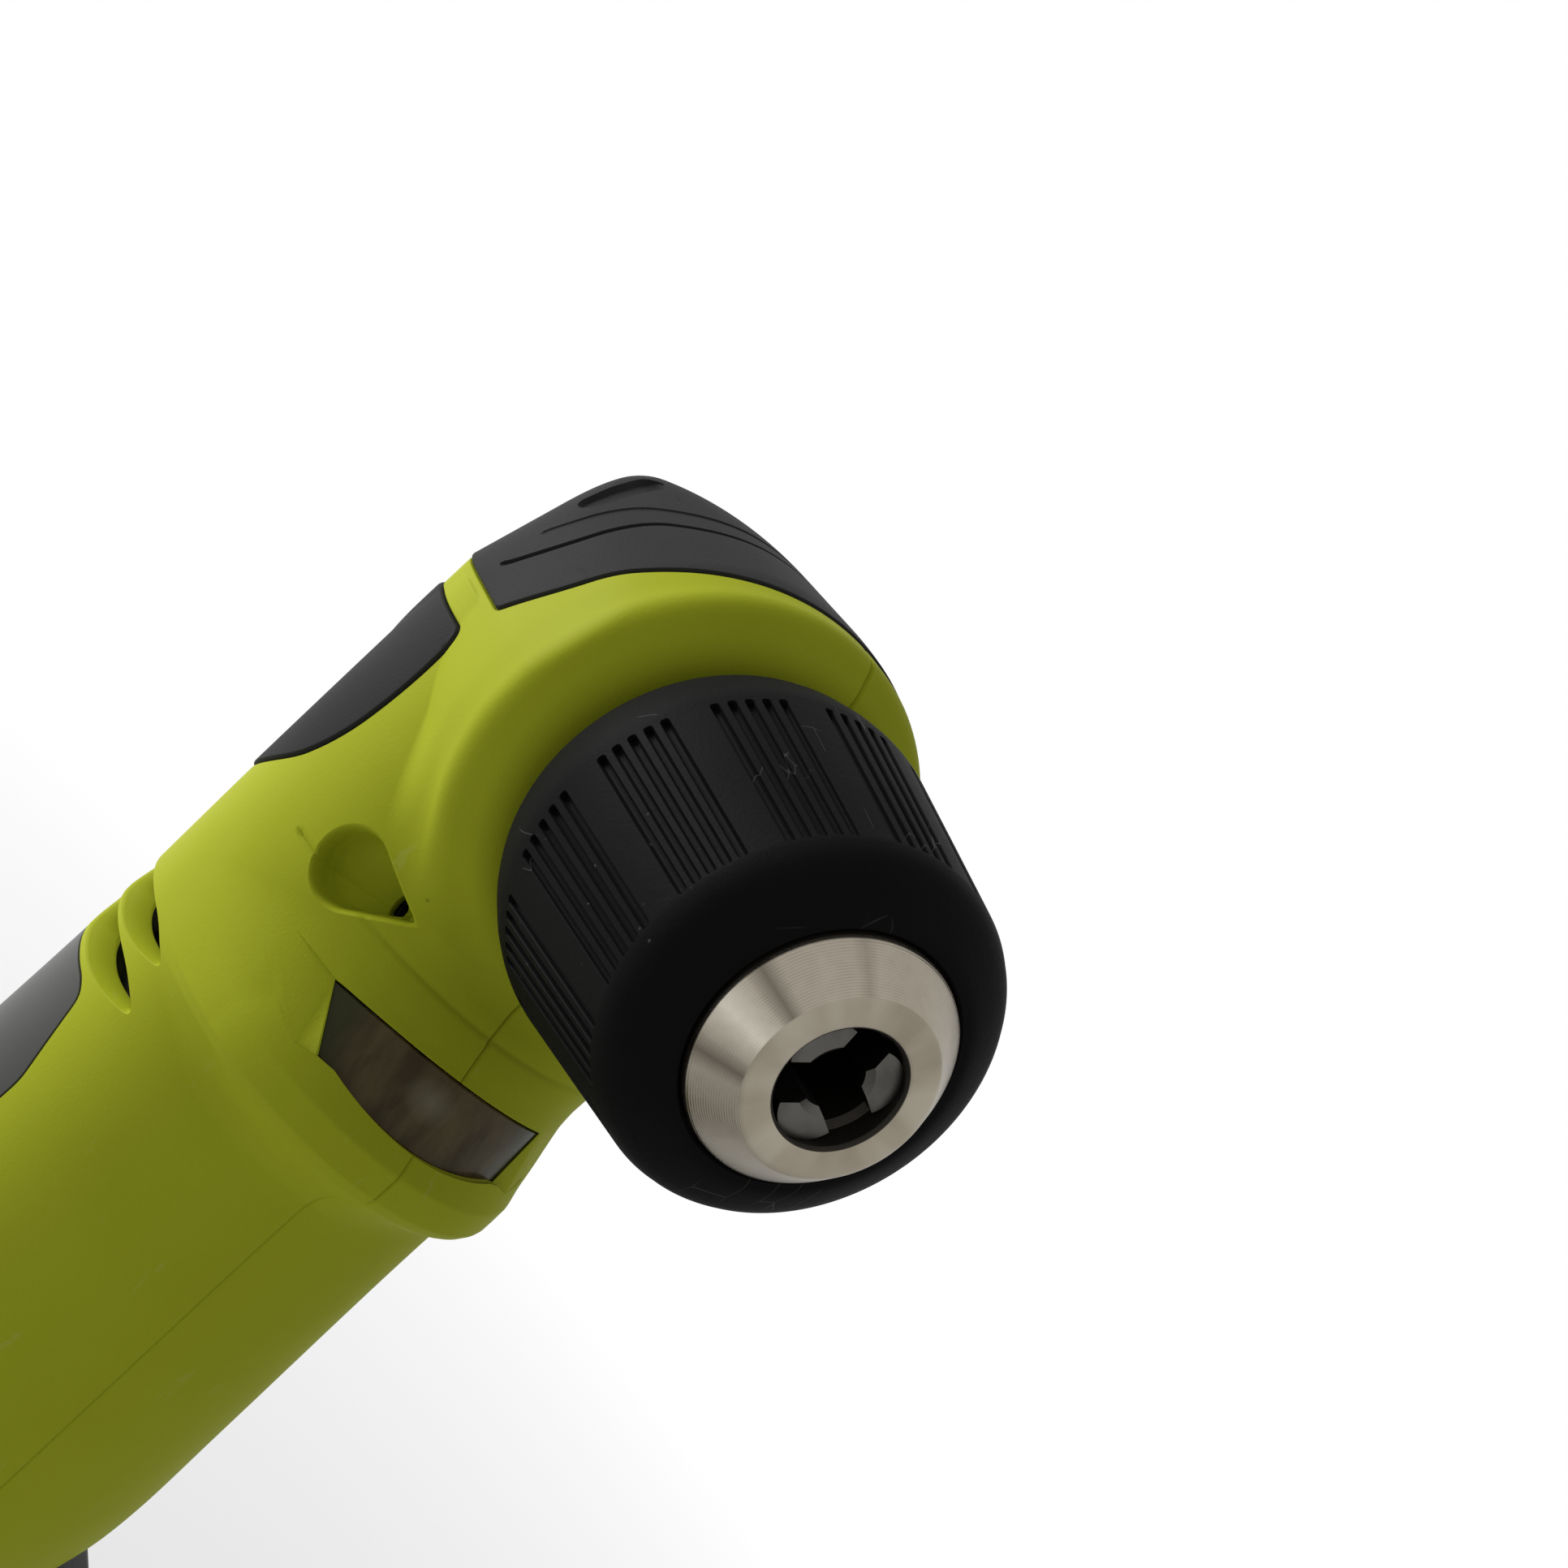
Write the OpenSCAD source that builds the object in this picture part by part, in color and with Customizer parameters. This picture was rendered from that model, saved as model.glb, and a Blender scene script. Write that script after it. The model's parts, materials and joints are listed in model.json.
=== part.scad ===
// Cordless right angle drill with a keyless chuck, standing on its battery pack.
// Z is up and the chuck points along +X. The origin is on the base, under the handle's axis.

/* [Layout] */
// Height of the chuck's axis above the base
chuck_height = 306; // [300:1:330]
// Height of the battery block below the foot
pack_height = 38; // [36:0.5:44]
// Wall of the moulded shells
wall = 2.6; // [2.2:0.1:2.8]
// Depth of the recesses for the soft covers
cover_depth = 1.3; // [1:0.1:1.4]
// Gap between pieces that move past each other or seat on each other
gap = 0.3; // [0.2:0.05:0.4]
// Radial clearance of a shaft or jaw in its hole
fit = 0.05; // [0.03:0.01:0.08]

/* [Head] */
// Radius of the head barrel round the chuck's axis
head_r = 26.3; // [26:0.1:27]
// Distance from the handle's axis to the ridge at the front of the head
ridge_x = 21.5; // [21:0.1:22.5]
// Radius of the ridge
ridge_r = 25.5; // [25:0.1:25.9]
// Reach of the lamp chin in front of the handle's axis
chin_reach = 32.4; // [31:0.1:34]
// Half width of the lamp lens
lens_half_w = 15; // [12:0.5:17]

/* [Chuck] */
// Distance from the handle's axis to the back of the sleeve
sleeve_back = 27.7; // [27.2:0.1:30]
// Length of the ribbed part of the sleeve
sleeve_len = 30.3; // [30:0.1:34]
// Largest radius of the sleeve
sleeve_r = 21.6; // [21.2:0.1:23]
// Radius of the sleeve's front rim
sleeve_rim_r = 18.4; // [18:0.1:19.5]
// Groups of grip grooves
groove_groups = 12; // [8:1:12]
// Grooves in one group
grooves_per_group = 5; // [3:1:5]
// How far the steel nose stands past the sleeve's rim
nose_len = 8.2; // [7.6:0.1:10]
// Radius of the nose where its cone starts
nose_r = 12; // [11.4:0.1:12.4]
// Radius of the round hole in the nose
nose_hole_r = 5.8; // [5.8:0.1:6.4]
// Radius of one jaw
jaw_r = 3.2; // [3:0.05:3.25]
// Tilt of a jaw's path to the chuck's axis
jaw_tilt = 15; // [14:0.5:16]
// Length of one jaw
jaw_len = 29; // [26:0.5:29.5]
// Radius that the jaws are set to grip
grip_r = 2.8; // [2.5:0.1:3]
// Direction of the first jaw, from straight down
jaw_turn = 7.3; // [0:0.1:15]

/* [Gears] */
// Module of the planetary teeth
gear_module = 0.85; // [0.8:0.01:0.86]
// Teeth of the bevel pinion
pinion_teeth = 14; // [13:1:15]
// Teeth of the bevel gear on the spindle
crown_teeth = 28; // [26:1:30]
// Cone distance of the bevel gears
cone_len = 19.57; // [18.8:0.1:19.8]
// Thickness of the planetary gears
planet_width = 8; // [6:0.5:8.5]

/* [Motor] */
// Radius of the motor can
can_r = 19.2; // [18.5:0.1:19.8]
// Length of the motor can
can_len = 41; // [38:0.5:42]
// Radius of the motor's shaft
motor_shaft_r = 2.5; // [2:0.1:2.6]
// Blades of the cooling fan
fan_blades = 9; // [7:1:13]

/* [Handle] */
// Height of the trigger
trigger_h = 58; // [50:1:62]
// Width of the trigger
trigger_w = 16; // [14:0.5:17]
// How far the trigger stands out of the grip
trigger_out = 9; // [8:0.5:11]
// Half length of the direction selector across the handle
selector_half = 24.5; // [24:0.5:27]

/* [Battery] */
// Length of the battery block
pack_len = 104; // [103:1:112]
// Width of the battery block
pack_width = 78; // [77:1:84]
// Length of the battery's stem
stem_len = 60; // [52:1:62]
// Radius of a cell
cell_r = 9.1; // [8.8:0.1:9.2]
// Length of a cell
cell_len = 65; // [60:1:66]

/* [Hidden] */
$fn = 64;
far = 400;

// Stations up and down from the chuck's axis
cap_rise = 1.3;
collar_drop = 23.9;
lens_top = 31.8;
chin_drop = 44;
vent_drop = 47;
bearing_drop = 20.4;
stage_drop = 33;
fan_drop = 47.5;
can_drop = 56;
bell_drop = can_drop + can_len;
bell_len = 10;
selector_drop = bell_drop + 16;
switch_drop = selector_drop + 12;
trigger_drop = switch_drop + 25;
foot_drop = chuck_height - pack_height;
stem_drop = foot_drop - stem_len;

// Chuck stations along X
rim_x = sleeve_back + sleeve_len;
nose_x = rim_x + nose_len;
chuck_back = sleeve_back + 1.2;
nut_back = sleeve_back + 18.2;
nut_front = nut_back + 6.2;
socket_end = chuck_back + 13.1;
screw_seat = socket_end + 2.5;
nose_base = nose_x - 3.7;
core_front = rim_x + 3.2;

// Chuck radii
core_r = sleeve_r - 4.5;
core_front_r = core_r - 2.9;
slot_r = 9.6;
nut_r = core_r - 0.6;
socket_r = 4.9;
bit_bore_r = 5.2;
jaw_face_r = nose_hole_r - (jaw_r + fit) / cos(jaw_tilt) - 0.04;
apex_r = grip_r - 0.53;
thread_pitch = 1.27;
groove_r = 0.75;
groove_pitch = 4.35;

// Gear sizes, with tooth counts that let three planets fit evenly
sun_teeth = 12;
planet_teeth = 15;
pressure_angle = 25;
ring_teeth = sun_teeth + 2 * planet_teeth;
planet_orbit = gear_module * (sun_teeth + planet_teeth) / 2;
ring_r = gear_module * ring_teeth / 2 + 3.15;
planet_pin_r = 2;
carrier_r = planet_orbit + planet_pin_r + 2.7;
pinion_cone = atan(pinion_teeth / crown_teeth);
crown_cone = 90 - pinion_cone;
tooth_face = 7;
tip_angle = 2.4;
root_angle = 3.6;

// Shafts and bearings
shaft_r = 6;
journal_r = 4;
front_bearing_r = 12;
front_bearing_x = 16.2;
front_bearing_w = 7;
rear_bearing_r = 8;
rear_bearing_x = -18.6;
rear_bearing_w = 5;
pinion_bearing_r = 11;
pinion_bearing_w = 7;
case_r = head_r - wall - 1.8;
case_flange_r = ring_r + 1.3;
boss_r = front_bearing_r + 3;
neck_r = pinion_bearing_r + 1.1;

// Handle
head_back = 26.2;
chin_r = 22.5;
lens_r = 22;
lens_tilt = 21;
grip_front = 20.2;
screw_places = [
    [16.4, 25.8], [-13, selector_drop + 4], [-13, stem_drop - 25], [8, stem_drop - 20],
    [25, foot_drop - 14], [-29, foot_drop - 14]
];
screw_head_r = 2.9;
screw_r = 1.5;
flange_x = 12;
switch_x = 4;
label_depth = 0.7;
stem_x = -2;
stem_half = [17, 15];
tub_h = 24;
pack_square = 8;
cell_count = 5;
foot_len = 84;
foot_width = 70;
pack_x = -1.2;
latch_y = pack_width / 2 - 6;
latch_inner = latch_y + 2 + gap;
latch_outer = pack_width / 2 - 0.4;

lime = [0.60, 0.64, 0.20];
soft_black = [0.17, 0.17, 0.17];
steel = [0.62, 0.60, 0.57];

// Crown of the head: height, distance inside head_r, and the slope of the surface there
crown = [
    [4, 0.7, 12], [8, 1.55, 14], [12, 2.75, 15], [16, 3.8, 14], [18.5, 4.5, 22], [20.5, 5.9, 44],
    [22.5, 8.3, 56], [24.2, 11.5, 66], [25.4, 15.5, 76], [26, 20.3, 84]
];

// Handle sections: drop below the chuck's axis, centre in X, half depth, half width, squareness
handle_sections = [
    [-cap_rise - 0.3, -0.3, head_r - 0.4, head_r - 0.3, 2], [30, -0.4, head_r - 0.7, head_r - 0.5, 2],
    [can_drop - 1, -0.5, can_r + 6, can_r + 6.2, 2], [bell_drop - 12, -0.5, can_r + 6.5, can_r + 6.8, 2],
    [bell_drop + 3, -0.6, can_r + 6.8, can_r + 7.1, 2], [bell_drop + 12, -0.9, can_r + 6.1, can_r + 6.2, 2],
    [bell_drop + 25, -1.6, 22.9, 21.8, 2.05], [trigger_drop, -2, grip_front + 1.8, grip_front, 2.1],
    [trigger_drop + 38, -2, grip_front + 2.4, grip_front + 0.4, 2.1],
    [foot_drop - 45, -2, 23.6, 22.0, 2.2],
    [foot_drop - 26, -1.8, foot_len / 2 - 11, foot_width / 2 - 7.5, 2.5],
    [foot_drop - 10, -1.4, foot_len / 2 - 1.5, foot_width / 2 - 1, 3],
    [foot_drop, pack_x, foot_len / 2, foot_width / 2, 3.2]
];
pack_sections = [
    [0, pack_x, foot_len / 2, foot_width / 2, 3.2], [6, pack_x, foot_len / 2 + 2, foot_width / 2 + 1, 3.4],
    [pack_height - tub_h, pack_x, pack_len / 2, pack_width / 2, pack_square]
];

// A Catmull-Rom point between b and c
function between(a, b, c, d, u) =
    b + 0.5 * u * (c - a + u * (2 * a - 5 * b + 4 * c - d + u * (3 * b - a - 3 * c + d)));

function smooth(list, steps) = concat(
    [for (i = [0:len(list) - 2]) for (k = [0:steps - 1])
        between(list[max(i - 1, 0)], list[i], list[i + 1], list[min(i + 2, len(list) - 1)], k / steps)],
    [list[len(list) - 1]]);

function super_point(s, d, t) = [
    s[1] + (s[2] - d) * sign(cos(t)) * pow(abs(cos(t)), 2 / s[4]),
    (s[3] - d) * sign(sin(t)) * pow(abs(sin(t)), 2 / s[4]),
    -s[0]
];

// A closed skin over smoothed sections, drawn in by d, between two of the sections
module skin(sections, d, from = 0, to = 100, steps = 2, sides = 32) {
    all_rings = smooth(sections, steps);
    rings = [for (i = [from * steps:min(to * steps, len(all_rings) - 1)]) all_rings[i]];
    last = len(rings) - 1;
    polyhedron(
        points = [for (s = rings) for (k = [0:sides - 1]) super_point(s, d, 360 * k / sides)],
        faces = concat(
            [[for (k = [sides - 1:-1:0]) k]],
            [[for (k = [0:sides - 1]) last * sides + k]],
            [for (i = [0:last - 1]) for (k = [0:sides - 1]) let (n = (k + 1) % sides)
                each [[i * sides + k, i * sides + n, (i + 1) * sides + n],
                      [i * sides + k, (i + 1) * sides + n, (i + 1) * sides + k]]]));
}

// A frame on the chuck's axis: local Z runs along +X and local X points down
module on_chuck() {
    translate([0, 0, chuck_height]) rotate([0, 90, 0]) children();
}

// A frame that hangs below the chuck's axis on the handle's axis
module on_handle(drop = 0) {
    translate([0, 0, chuck_height - drop]) children();
}

// A tube or disc round local Z from z0 to z1
module ring(outer, inner, z0, z1) {
    translate([0, 0, z0]) difference() {
        cylinder(r = outer, h = z1 - z0);
        if (inner > 0) translate([0, 0, -1]) cylinder(r = inner, h = z1 - z0 + 2);
    }
}

// Outline of the head's crown, half of it, drawn in by d
module crown_outline(d) polygon([
    [0, cap_rise], [head_r - 0.2 - d, cap_rise],
    for (p = crown) [head_r - p[1] - d * cos(p[2]), p[0] - d * sin(p[2])],
    [0, head_r - 0.1 - d]]);

// The head barrel, tapered upwards at the back and straight at the front, drawn in by d
module head_form(d) {
    intersection() {
        on_chuck() rotate_extrude() polygon([
            [0, d - head_back], [12 - d / 2, d - head_back], [19 - d / 2, 1.6 + d - head_back],
            [head_r - 3.5 - d, 4.7 + d - head_back], [head_r - 1.7 - d, 8.4 + d / 2 - head_back],
            [head_r - 0.5 - d, 12.2 - head_back], [head_r - d, 17.2 - head_back],
            [head_r - d, ridge_x - 3.5], [ridge_r - 0.6 - d, ridge_x - 1.9], [ridge_r - d, ridge_x - 0.7],
            [ridge_r - d, ridge_x], [21 - d, ridge_x + 3.1 - d], [0, ridge_x + 3.1 - d]]);
        on_handle() {
            rotate([0, 0, 90]) rotate_extrude(angle = 180) crown_outline(d);
            rotate([90, 0, 90]) linear_extrude(ridge_x + 5) union() {
                crown_outline(d);
                mirror([1, 0]) crown_outline(d);
            }
            translate([0, d + 0.2 - head_r, -40]) cube([ridge_x + 5, 2 * (head_r - 0.2 - d), 42]);
        }
    }
}

// The chin below the chuck that carries the lamp, drawn in by d
module chin_form(d) {
    round_r = chin_r - d;
    centre = chin_reach - chin_r;
    intersection() {
        on_handle() union() {
            hull() {
                translate([1.4, 0, -collar_drop - 0.2]) cylinder(r = 22 - d, h = 0.2, $fn = 48);
                translate([centre, 0, -chin_drop]) cylinder(r = round_r, h = 2, $fn = 48);
            }
            translate([centre, 0, 0]) rotate_extrude() polygon([
                [0, -chin_drop], [round_r, -chin_drop], [round_r, -chin_drop - 1.2],
                [round_r - 0.7, -chin_drop - 2.6], [round_r - 2.2, -chin_drop - 3.6],
                [round_r - 5.4, -chin_drop - 5.6], [round_r - 7.6, -chin_drop - 8.6],
                [0, -chin_drop - 8.6]]);
        }
        translate([0, -far / 2, 0]) cube([far, far, far]);
    }
}

// The outer form of the housing, drawn in by d
module body_form(d) {
    head_form(d);
    chin_form(d);
    difference() {
        on_handle() skin(handle_sections, d);
        translate([ridge_x - 1.5 - d, -40, chuck_height - collar_drop - d]) cube([20, 80, 60]);
    }
}

// Side outlines of the covers and the label, in X and height from the chuck's axis
module cap_outline() polygon([
    [-40, cap_rise], [7.9, cap_rise], [12, 8.3], [13.4, 12.4], [15, 16], [16.4, 20.7], [17.1, 23.2],
    [18.7, 24.9], [ridge_x - 2.4, 40], [-40, 40]]);
module rear_outline() polygon([
    [-40, -3], [3.7, -3], [5.2, -4.2], [5.6, -8], [5.2, -13], [4.4, -17.5], [2.9, -21.3],
    [0.4, -25], [-6.2, -29.5], [-14, -33], [-40, -36]]);
module grip_outline() polygon([
    [-40, -bell_drop - 7], [-12, -bell_drop - 7], [-3, -bell_drop - 11], [1, -selector_drop - 3],
    [2, -trigger_drop], [1, -trigger_drop - 40], [-2, -trigger_drop - 54], [-8, -trigger_drop - 62],
    [-40, -trigger_drop - 66]]);
module label_outline() polygon([
    [8.2, -vent_drop - 20], [5, -vent_drop - 10.5], [2.8, -vent_drop - 9.7], [-12, -vent_drop - 9.7],
    [-14.5, -vent_drop - 12.5], [-14.5, 5 - bell_drop], [-12, 2 - bell_drop], [5.5, 2 - bell_drop],
    [8.2, 5 - bell_drop]]);

module side_prism(half_w = 60) {
    on_handle() rotate([90, 0, 0]) translate([0, 0, -half_w]) linear_extrude(2 * half_w) children();
}

// Leaf shaped vent, pointed at the front
module vent_outline(front, drop) translate([0, -drop]) polygon([
    [front, 0.6], [front - 4, 1.8], [front - 9, 2.1], [front - 22, 2.1], [front - 24, 0],
    [front - 22, -2.1], [front - 9, -2.1], [front - 4, -1.2]]);

module vents() side_prism() {
    vent_outline(8.5, vent_drop);
    vent_outline(10.1, vent_drop + 5.3);
}

// A block of the lamp's tilted, curved front between two depths
module lens_block(depth0, depth1, grow = 0) {
    on_handle(lens_top) translate([27, 0, 0]) rotate([0, -lens_tilt, 0]) intersection() {
        translate([-lens_r, 0, -9.3 - grow]) difference() {
            cylinder(r = lens_r - depth0, h = 9.3 + 2 * grow);
            translate([0, 0, -1]) cylinder(r = lens_r - depth1, h = 13);
        }
        translate([-20, -lens_half_w - grow, -20]) cube([40, 2 * (lens_half_w + grow), 40]);
    }
}

// Places each screw's axis, running along Y from the left side
module at_screws() {
    for (p = screw_places)
        translate([p[0], 0, chuck_height - p[1]]) rotate([-90, 0, 0]) children();
}

// The square stem of the battery, and the socket in the foot that takes it, grown by d
module stem_form(d, z0, z1) {
    translate([stem_x, 0, z0]) linear_extrude(z1 - z0)
        offset(r = 8) square(2 * (stem_half - [8 - d, 8 - d]), center = true);
}

// Ribs inside the shells that carry the motor, the switch, the terminals and the gear case
module ribs() {
    difference() {
        intersection() {
            body_form(wall - 0.6);
            union() {
                on_handle() for (drop = [
                    can_drop + 5, bell_drop - 4, switch_drop - 3.5, switch_drop + 45, stem_drop - 17])
                    translate([-60, -60, -drop - 2.4]) cube([120, 120, 2.4]);
                at_screws() translate([0, 0, -60]) cylinder(r = 3.9, h = 120, $fn = 32);
            }
        }
        on_handle(bell_drop + 23) cylinder(r = can_r + gap, h = can_len + 39);
        translate([-17, -11.2, chuck_height - switch_drop - 47]) cube([18 + switch_x, 22.4, 52]);
        translate([-15, -12.3, chuck_height - stem_drop]) cube([26, 24.6, 15]);
        translate([0, -trigger_w / 2 - 1.9, chuck_height - trigger_drop - 30])
            cube([40, trigger_w + 3.8, 62]);
        translate([-9, -10, chuck_height - stem_drop - 5]) cube([12, 20, 80]);
    }
}

// Both shells before they are parted
module shells() {
    difference() {
        union() {
            difference() {
                body_form(0);
                intersection() {
                    body_form(wall);
                    translate([-100, -100, pack_height + wall]) cube([200, 200, far]);
                }
                recess() {
                    cap_outline();
                    head_form(cover_depth);
                }
                recess() {
                    rear_outline();
                    upper_form(cover_depth);
                }
                recess() {
                    grip_outline();
                    grip_form(cover_depth);
                }
                recess() {
                    label_outline();
                    barrel_form(label_depth);
                }
            }
            ribs();
        }
        on_chuck() cylinder(r = boss_r + gap, h = 40);
        vents();
        lens_block(-6, 2.65, 0.15);
        lens_block(2, 7, -0.9);
        at_screws() {
            translate([0, 0, -60]) cylinder(r = screw_head_r + 0.6, h = 50);
            translate([0, 0, -60]) cylinder(r = screw_r + 0.15, h = 69);
        }
        translate([flange_x, -trigger_w / 2 - gap, chuck_height - trigger_drop - trigger_h / 2 - gap])
            cube([30, trigger_w + 2 * gap, trigger_h + 2 * gap]);
        selector_slot();
        stem_form(gap, pack_height - 1, chuck_height - stem_drop + 1);
    }
}

module selector_slot() {
    on_handle(selector_drop) translate([10, 0, 0]) cube([12 + 2 * gap, 80, 6 + 2 * gap], center = true);
}

module left_shell() color(lime) intersection() {
    shells();
    translate([-far / 2, -far, -1]) cube([far, far, far]);
}

module right_shell() color(lime) intersection() {
    shells();
    translate([-far / 2, 0, -1]) cube([far, far, far]);
}

// What lies inside an outline but outside an inner form
module recess() difference() {
    side_prism() children(0);
    children(1);
}

// A cover inside an outline, between an outer form and an inner form
module cover() difference() {
    intersection() {
        children(1);
        side_prism() offset(delta = -0.15) children(0);
    }
    children(2);
}

// The stretches of the housing's form that carry the soft covers and the label
module upper_form(d) {
    head_form(d);
    on_handle() skin(handle_sections, d, 0, 3);
}
module barrel_form(d) on_handle() skin(handle_sections, d, 1, 5);
module grip_form(d) on_handle() skin(handle_sections, d, 4, 11);

module head_cap() color(soft_black) difference() {
    cover() {
        cap_outline();
        head_form(-0.2);
        head_form(cover_depth - fit);
    }
    for (x = [-10, -3.5, 3])
        translate([x, 0, chuck_height]) rotate([0, 90, 0]) ring(30, head_r - 0.3, 0, 0.9);
}

module rear_grip() color(soft_black) difference() {
    cover() {
        rear_outline();
        upper_form(-0.2);
        upper_form(cover_depth);
    }
    on_handle() for (drop = [10, 17, 24]) translate([-0.4, 0, -drop]) ring(30, 25.7, 0, 0.9);
}

module handle_grip() color(soft_black) cover() {
    grip_outline();
    grip_form(-0.5);
    grip_form(cover_depth);
}

module label_plates() color([0.24, 0.25, 0.26]) cover() {
    label_outline();
    barrel_form(0);
    barrel_form(label_depth);
}

module led_lens() color([0.35, 0.33, 0.30, 0.6]) lens_block(0.9, 2.5);

module led_board() color([0.1, 0.35, 0.2]) {
    lens_block(3.3, 4.1, -1.2);
    for (y = [-7, 0, 7]) intersection() {
        lens_block(2.7, 3.4, -2.6);
        on_handle(lens_top + 10) translate([10, y - 1.5, 0]) cube([20, 3, 10]);
    }
}

module shell_screws() color([0.2, 0.2, 0.2]) at_screws() difference() {
    union() {
        translate([0, 0, -12.4]) cylinder(r = screw_head_r, h = 2.3);
        translate([0, 0, -10.2]) cylinder(r = screw_r, h = 19);
    }
    translate([0, 0, -13]) cylinder(r = 1.3, h = 1.9, $fn = 6);
}

// The aluminium case that holds the bevel gears, their bearings and the ring gear
module gear_case() color([0.7, 0.71, 0.72]) difference() {
    union() {
        intersection() {
            on_chuck() ring(case_r, 0, -20, ridge_x - 1);
            head_form(wall + 2 * gap);
        }
        intersection() {
            on_handle() ring(case_r + 0.4, 0, -case_r, 0);
            on_chuck() ring(case_r, 0, -22, ridge_x - 1);
        }
        on_chuck() ring(boss_r, 0, 14, front_bearing_x + front_bearing_w + 1.2);
        on_handle() ring(neck_r, 0, -stage_drop + 1, 0);
        on_handle() ring(case_flange_r, 0, -stage_drop - 13.4, -stage_drop + 1.8);
    }
    intersection() {
        on_chuck() ring(case_r - 2.2, 0, -12.2, 14.2);
        on_handle() translate([0, 0, -40]) linear_extrude(80) {
            circle(r = 20.2);
            translate([0, -20.2]) square([30, 40.4]);
        }
    }
    on_chuck() ring(front_bearing_r + fit, 0, 10, front_bearing_x + front_bearing_w + 0.1);
    on_chuck() ring(10, 0, 10, 40);
    on_chuck() ring(rear_bearing_r + fit, 0, rear_bearing_x - 0.1, -10);
    on_chuck() ring(journal_r + gap, 0, rear_bearing_x - 0.8, 0);
    on_handle() ring(9.4, 0, -25, -5);
    on_handle() ring(pinion_bearing_r + fit, 0, -bearing_drop - pinion_bearing_w - 0.1, -bearing_drop);
    on_handle() ring(8, 0, -stage_drop - 1, -20);
    on_handle() ring(ring_r + fit, 0, -stage_drop - 14, -stage_drop + gap);
}

// A ball bearing as one ring with a shield groove on each side
module bearing(outer, inner, w) {
    mid = (outer + inner) / 2;
    third = (outer - inner) / 6;
    rotate_extrude() polygon([
        [inner, 0], [mid - third, 0], [mid - third, 0.5], [mid + third, 0.5], [mid + third, 0],
        [outer, 0], [outer, w], [mid + third, w], [mid + third, w - 0.5], [mid - third, w - 0.5],
        [mid - third, w], [inner, w]]);
}

module front_bearing() color(steel) on_chuck() translate([0, 0, front_bearing_x])
    bearing(front_bearing_r, shaft_r + fit, front_bearing_w);

module rear_bearing() color(steel) on_chuck() translate([0, 0, rear_bearing_x])
    bearing(rear_bearing_r, journal_r + fit, rear_bearing_w);

module pinion_bearing() color(steel) on_handle(bearing_drop + pinion_bearing_w)
    bearing(pinion_bearing_r, journal_r + fit, pinion_bearing_w);

// Involute of an angle, in degrees
function inv(a) = tan(a) * 180 / PI - a;

// Half the angle that a tooth fills at radius r, thinned by play on each flank
function tooth_half(m, z, r, play) =
    let (base = m * z / 2 * cos(pressure_angle), a = acos(min(1, base / r)))
    90 / z + inv(pressure_angle) - inv(a) - play * 180 / (PI * r);

function gear_points(m, z, tip, root, play) = [
    for (i = [0:z - 1]) each concat(
        [for (r = [root, (root + m * z / 2) / 2, m * z / 2, (tip + m * z / 2) / 2, tip])
            let (a = 360 * i / z - tooth_half(m, z, r, play)) r * [cos(a), sin(a)]],
        [for (r = [tip, (tip + m * z / 2) / 2, m * z / 2, (root + m * z / 2) / 2, root])
            let (a = 360 * i / z + tooth_half(m, z, r, play)) r * [cos(a), sin(a)]])];

module spur_gear(z, w, play = 0.05) {
    r = gear_module * z / 2;
    linear_extrude(w)
        polygon(gear_points(gear_module, z, r + 0.9 * gear_module, r - 1.2 * gear_module, play));
}

module ring_gear() color(steel) on_handle(stage_drop + planet_width + 4.8) difference() {
    cylinder(r = ring_r, h = planet_width + 4.5);
    r = gear_module * ring_teeth / 2;
    translate([0, 0, -1]) linear_extrude(planet_width + 10)
        polygon(gear_points(gear_module, ring_teeth, r + 1.25 * gear_module, r - 0.9 * gear_module, -0.05));
}

// Outline of a straight bevel gear in the plane one unit from the cone's apex
function bevel_points(z, cone) = [
    for (i = [0:z - 1]) let (mid = 360 * i / z) each [
        for (k = [[-root_angle, -1], [0, -1], [tip_angle, -1], [tip_angle, 1], [0, 1], [-root_angle, 1]])
            let (
                angle = cone + k[0],
                rise = cone_len * sin(k[0]),
                half = PI * cone_len * sin(cone) / z / 2 - 0.09 - rise * tan(20),
                turn = k[1] * half / (cone_len * sin(angle)) * 180 / PI)
            tan(angle) * [cos(mid + turn), sin(mid + turn)]]];

// A bevel gear whose apex is the origin and whose body opens along +Z
module bevel(z, cone, bore, hub_r, hub_end) {
    near = (cone_len - tooth_face) * cos(cone);
    wide = cone_len * cos(cone) + 1.6 * sin(cone);
    front = [near * tan(cone + tip_angle), near];
    tip = cone_len / cos(tip_angle) * [sin(cone + tip_angle), cos(cone + tip_angle)];
    back = cone_len / cos(root_angle) * [sin(cone - root_angle), cos(cone - root_angle)];
    difference() {
        union() {
            intersection() {
                translate([0, 0, near]) linear_extrude(wide - near, scale = wide / near)
                    scale(near) polygon(bevel_points(z, cone));
                rotate_extrude() polygon([[0, near], front + [0.01, 0], tip + [0.02, 0], back, [0, back[1]]]);
            }
            ring(min(hub_r, back[0] - 0.2), 0, back[1] - 0.6, hub_end);
        }
        if (bore > 0) cylinder(r = bore, h = 100, center = true);
    }
}

module bevel_gear() color(steel) on_chuck()
    bevel(crown_teeth, crown_cone, shaft_r + fit, 12, front_bearing_x - gap);

module pinion_shaft() color(steel) union() {
    on_handle() rotate([180, 0, 0]) rotate(180 / pinion_teeth)
        bevel(pinion_teeth, pinion_cone, 0, 6.5, bearing_drop - gap / 2);
    on_handle() ring(journal_r, 0, -stage_drop - 3.4, -bearing_drop + 1);
}

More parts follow.
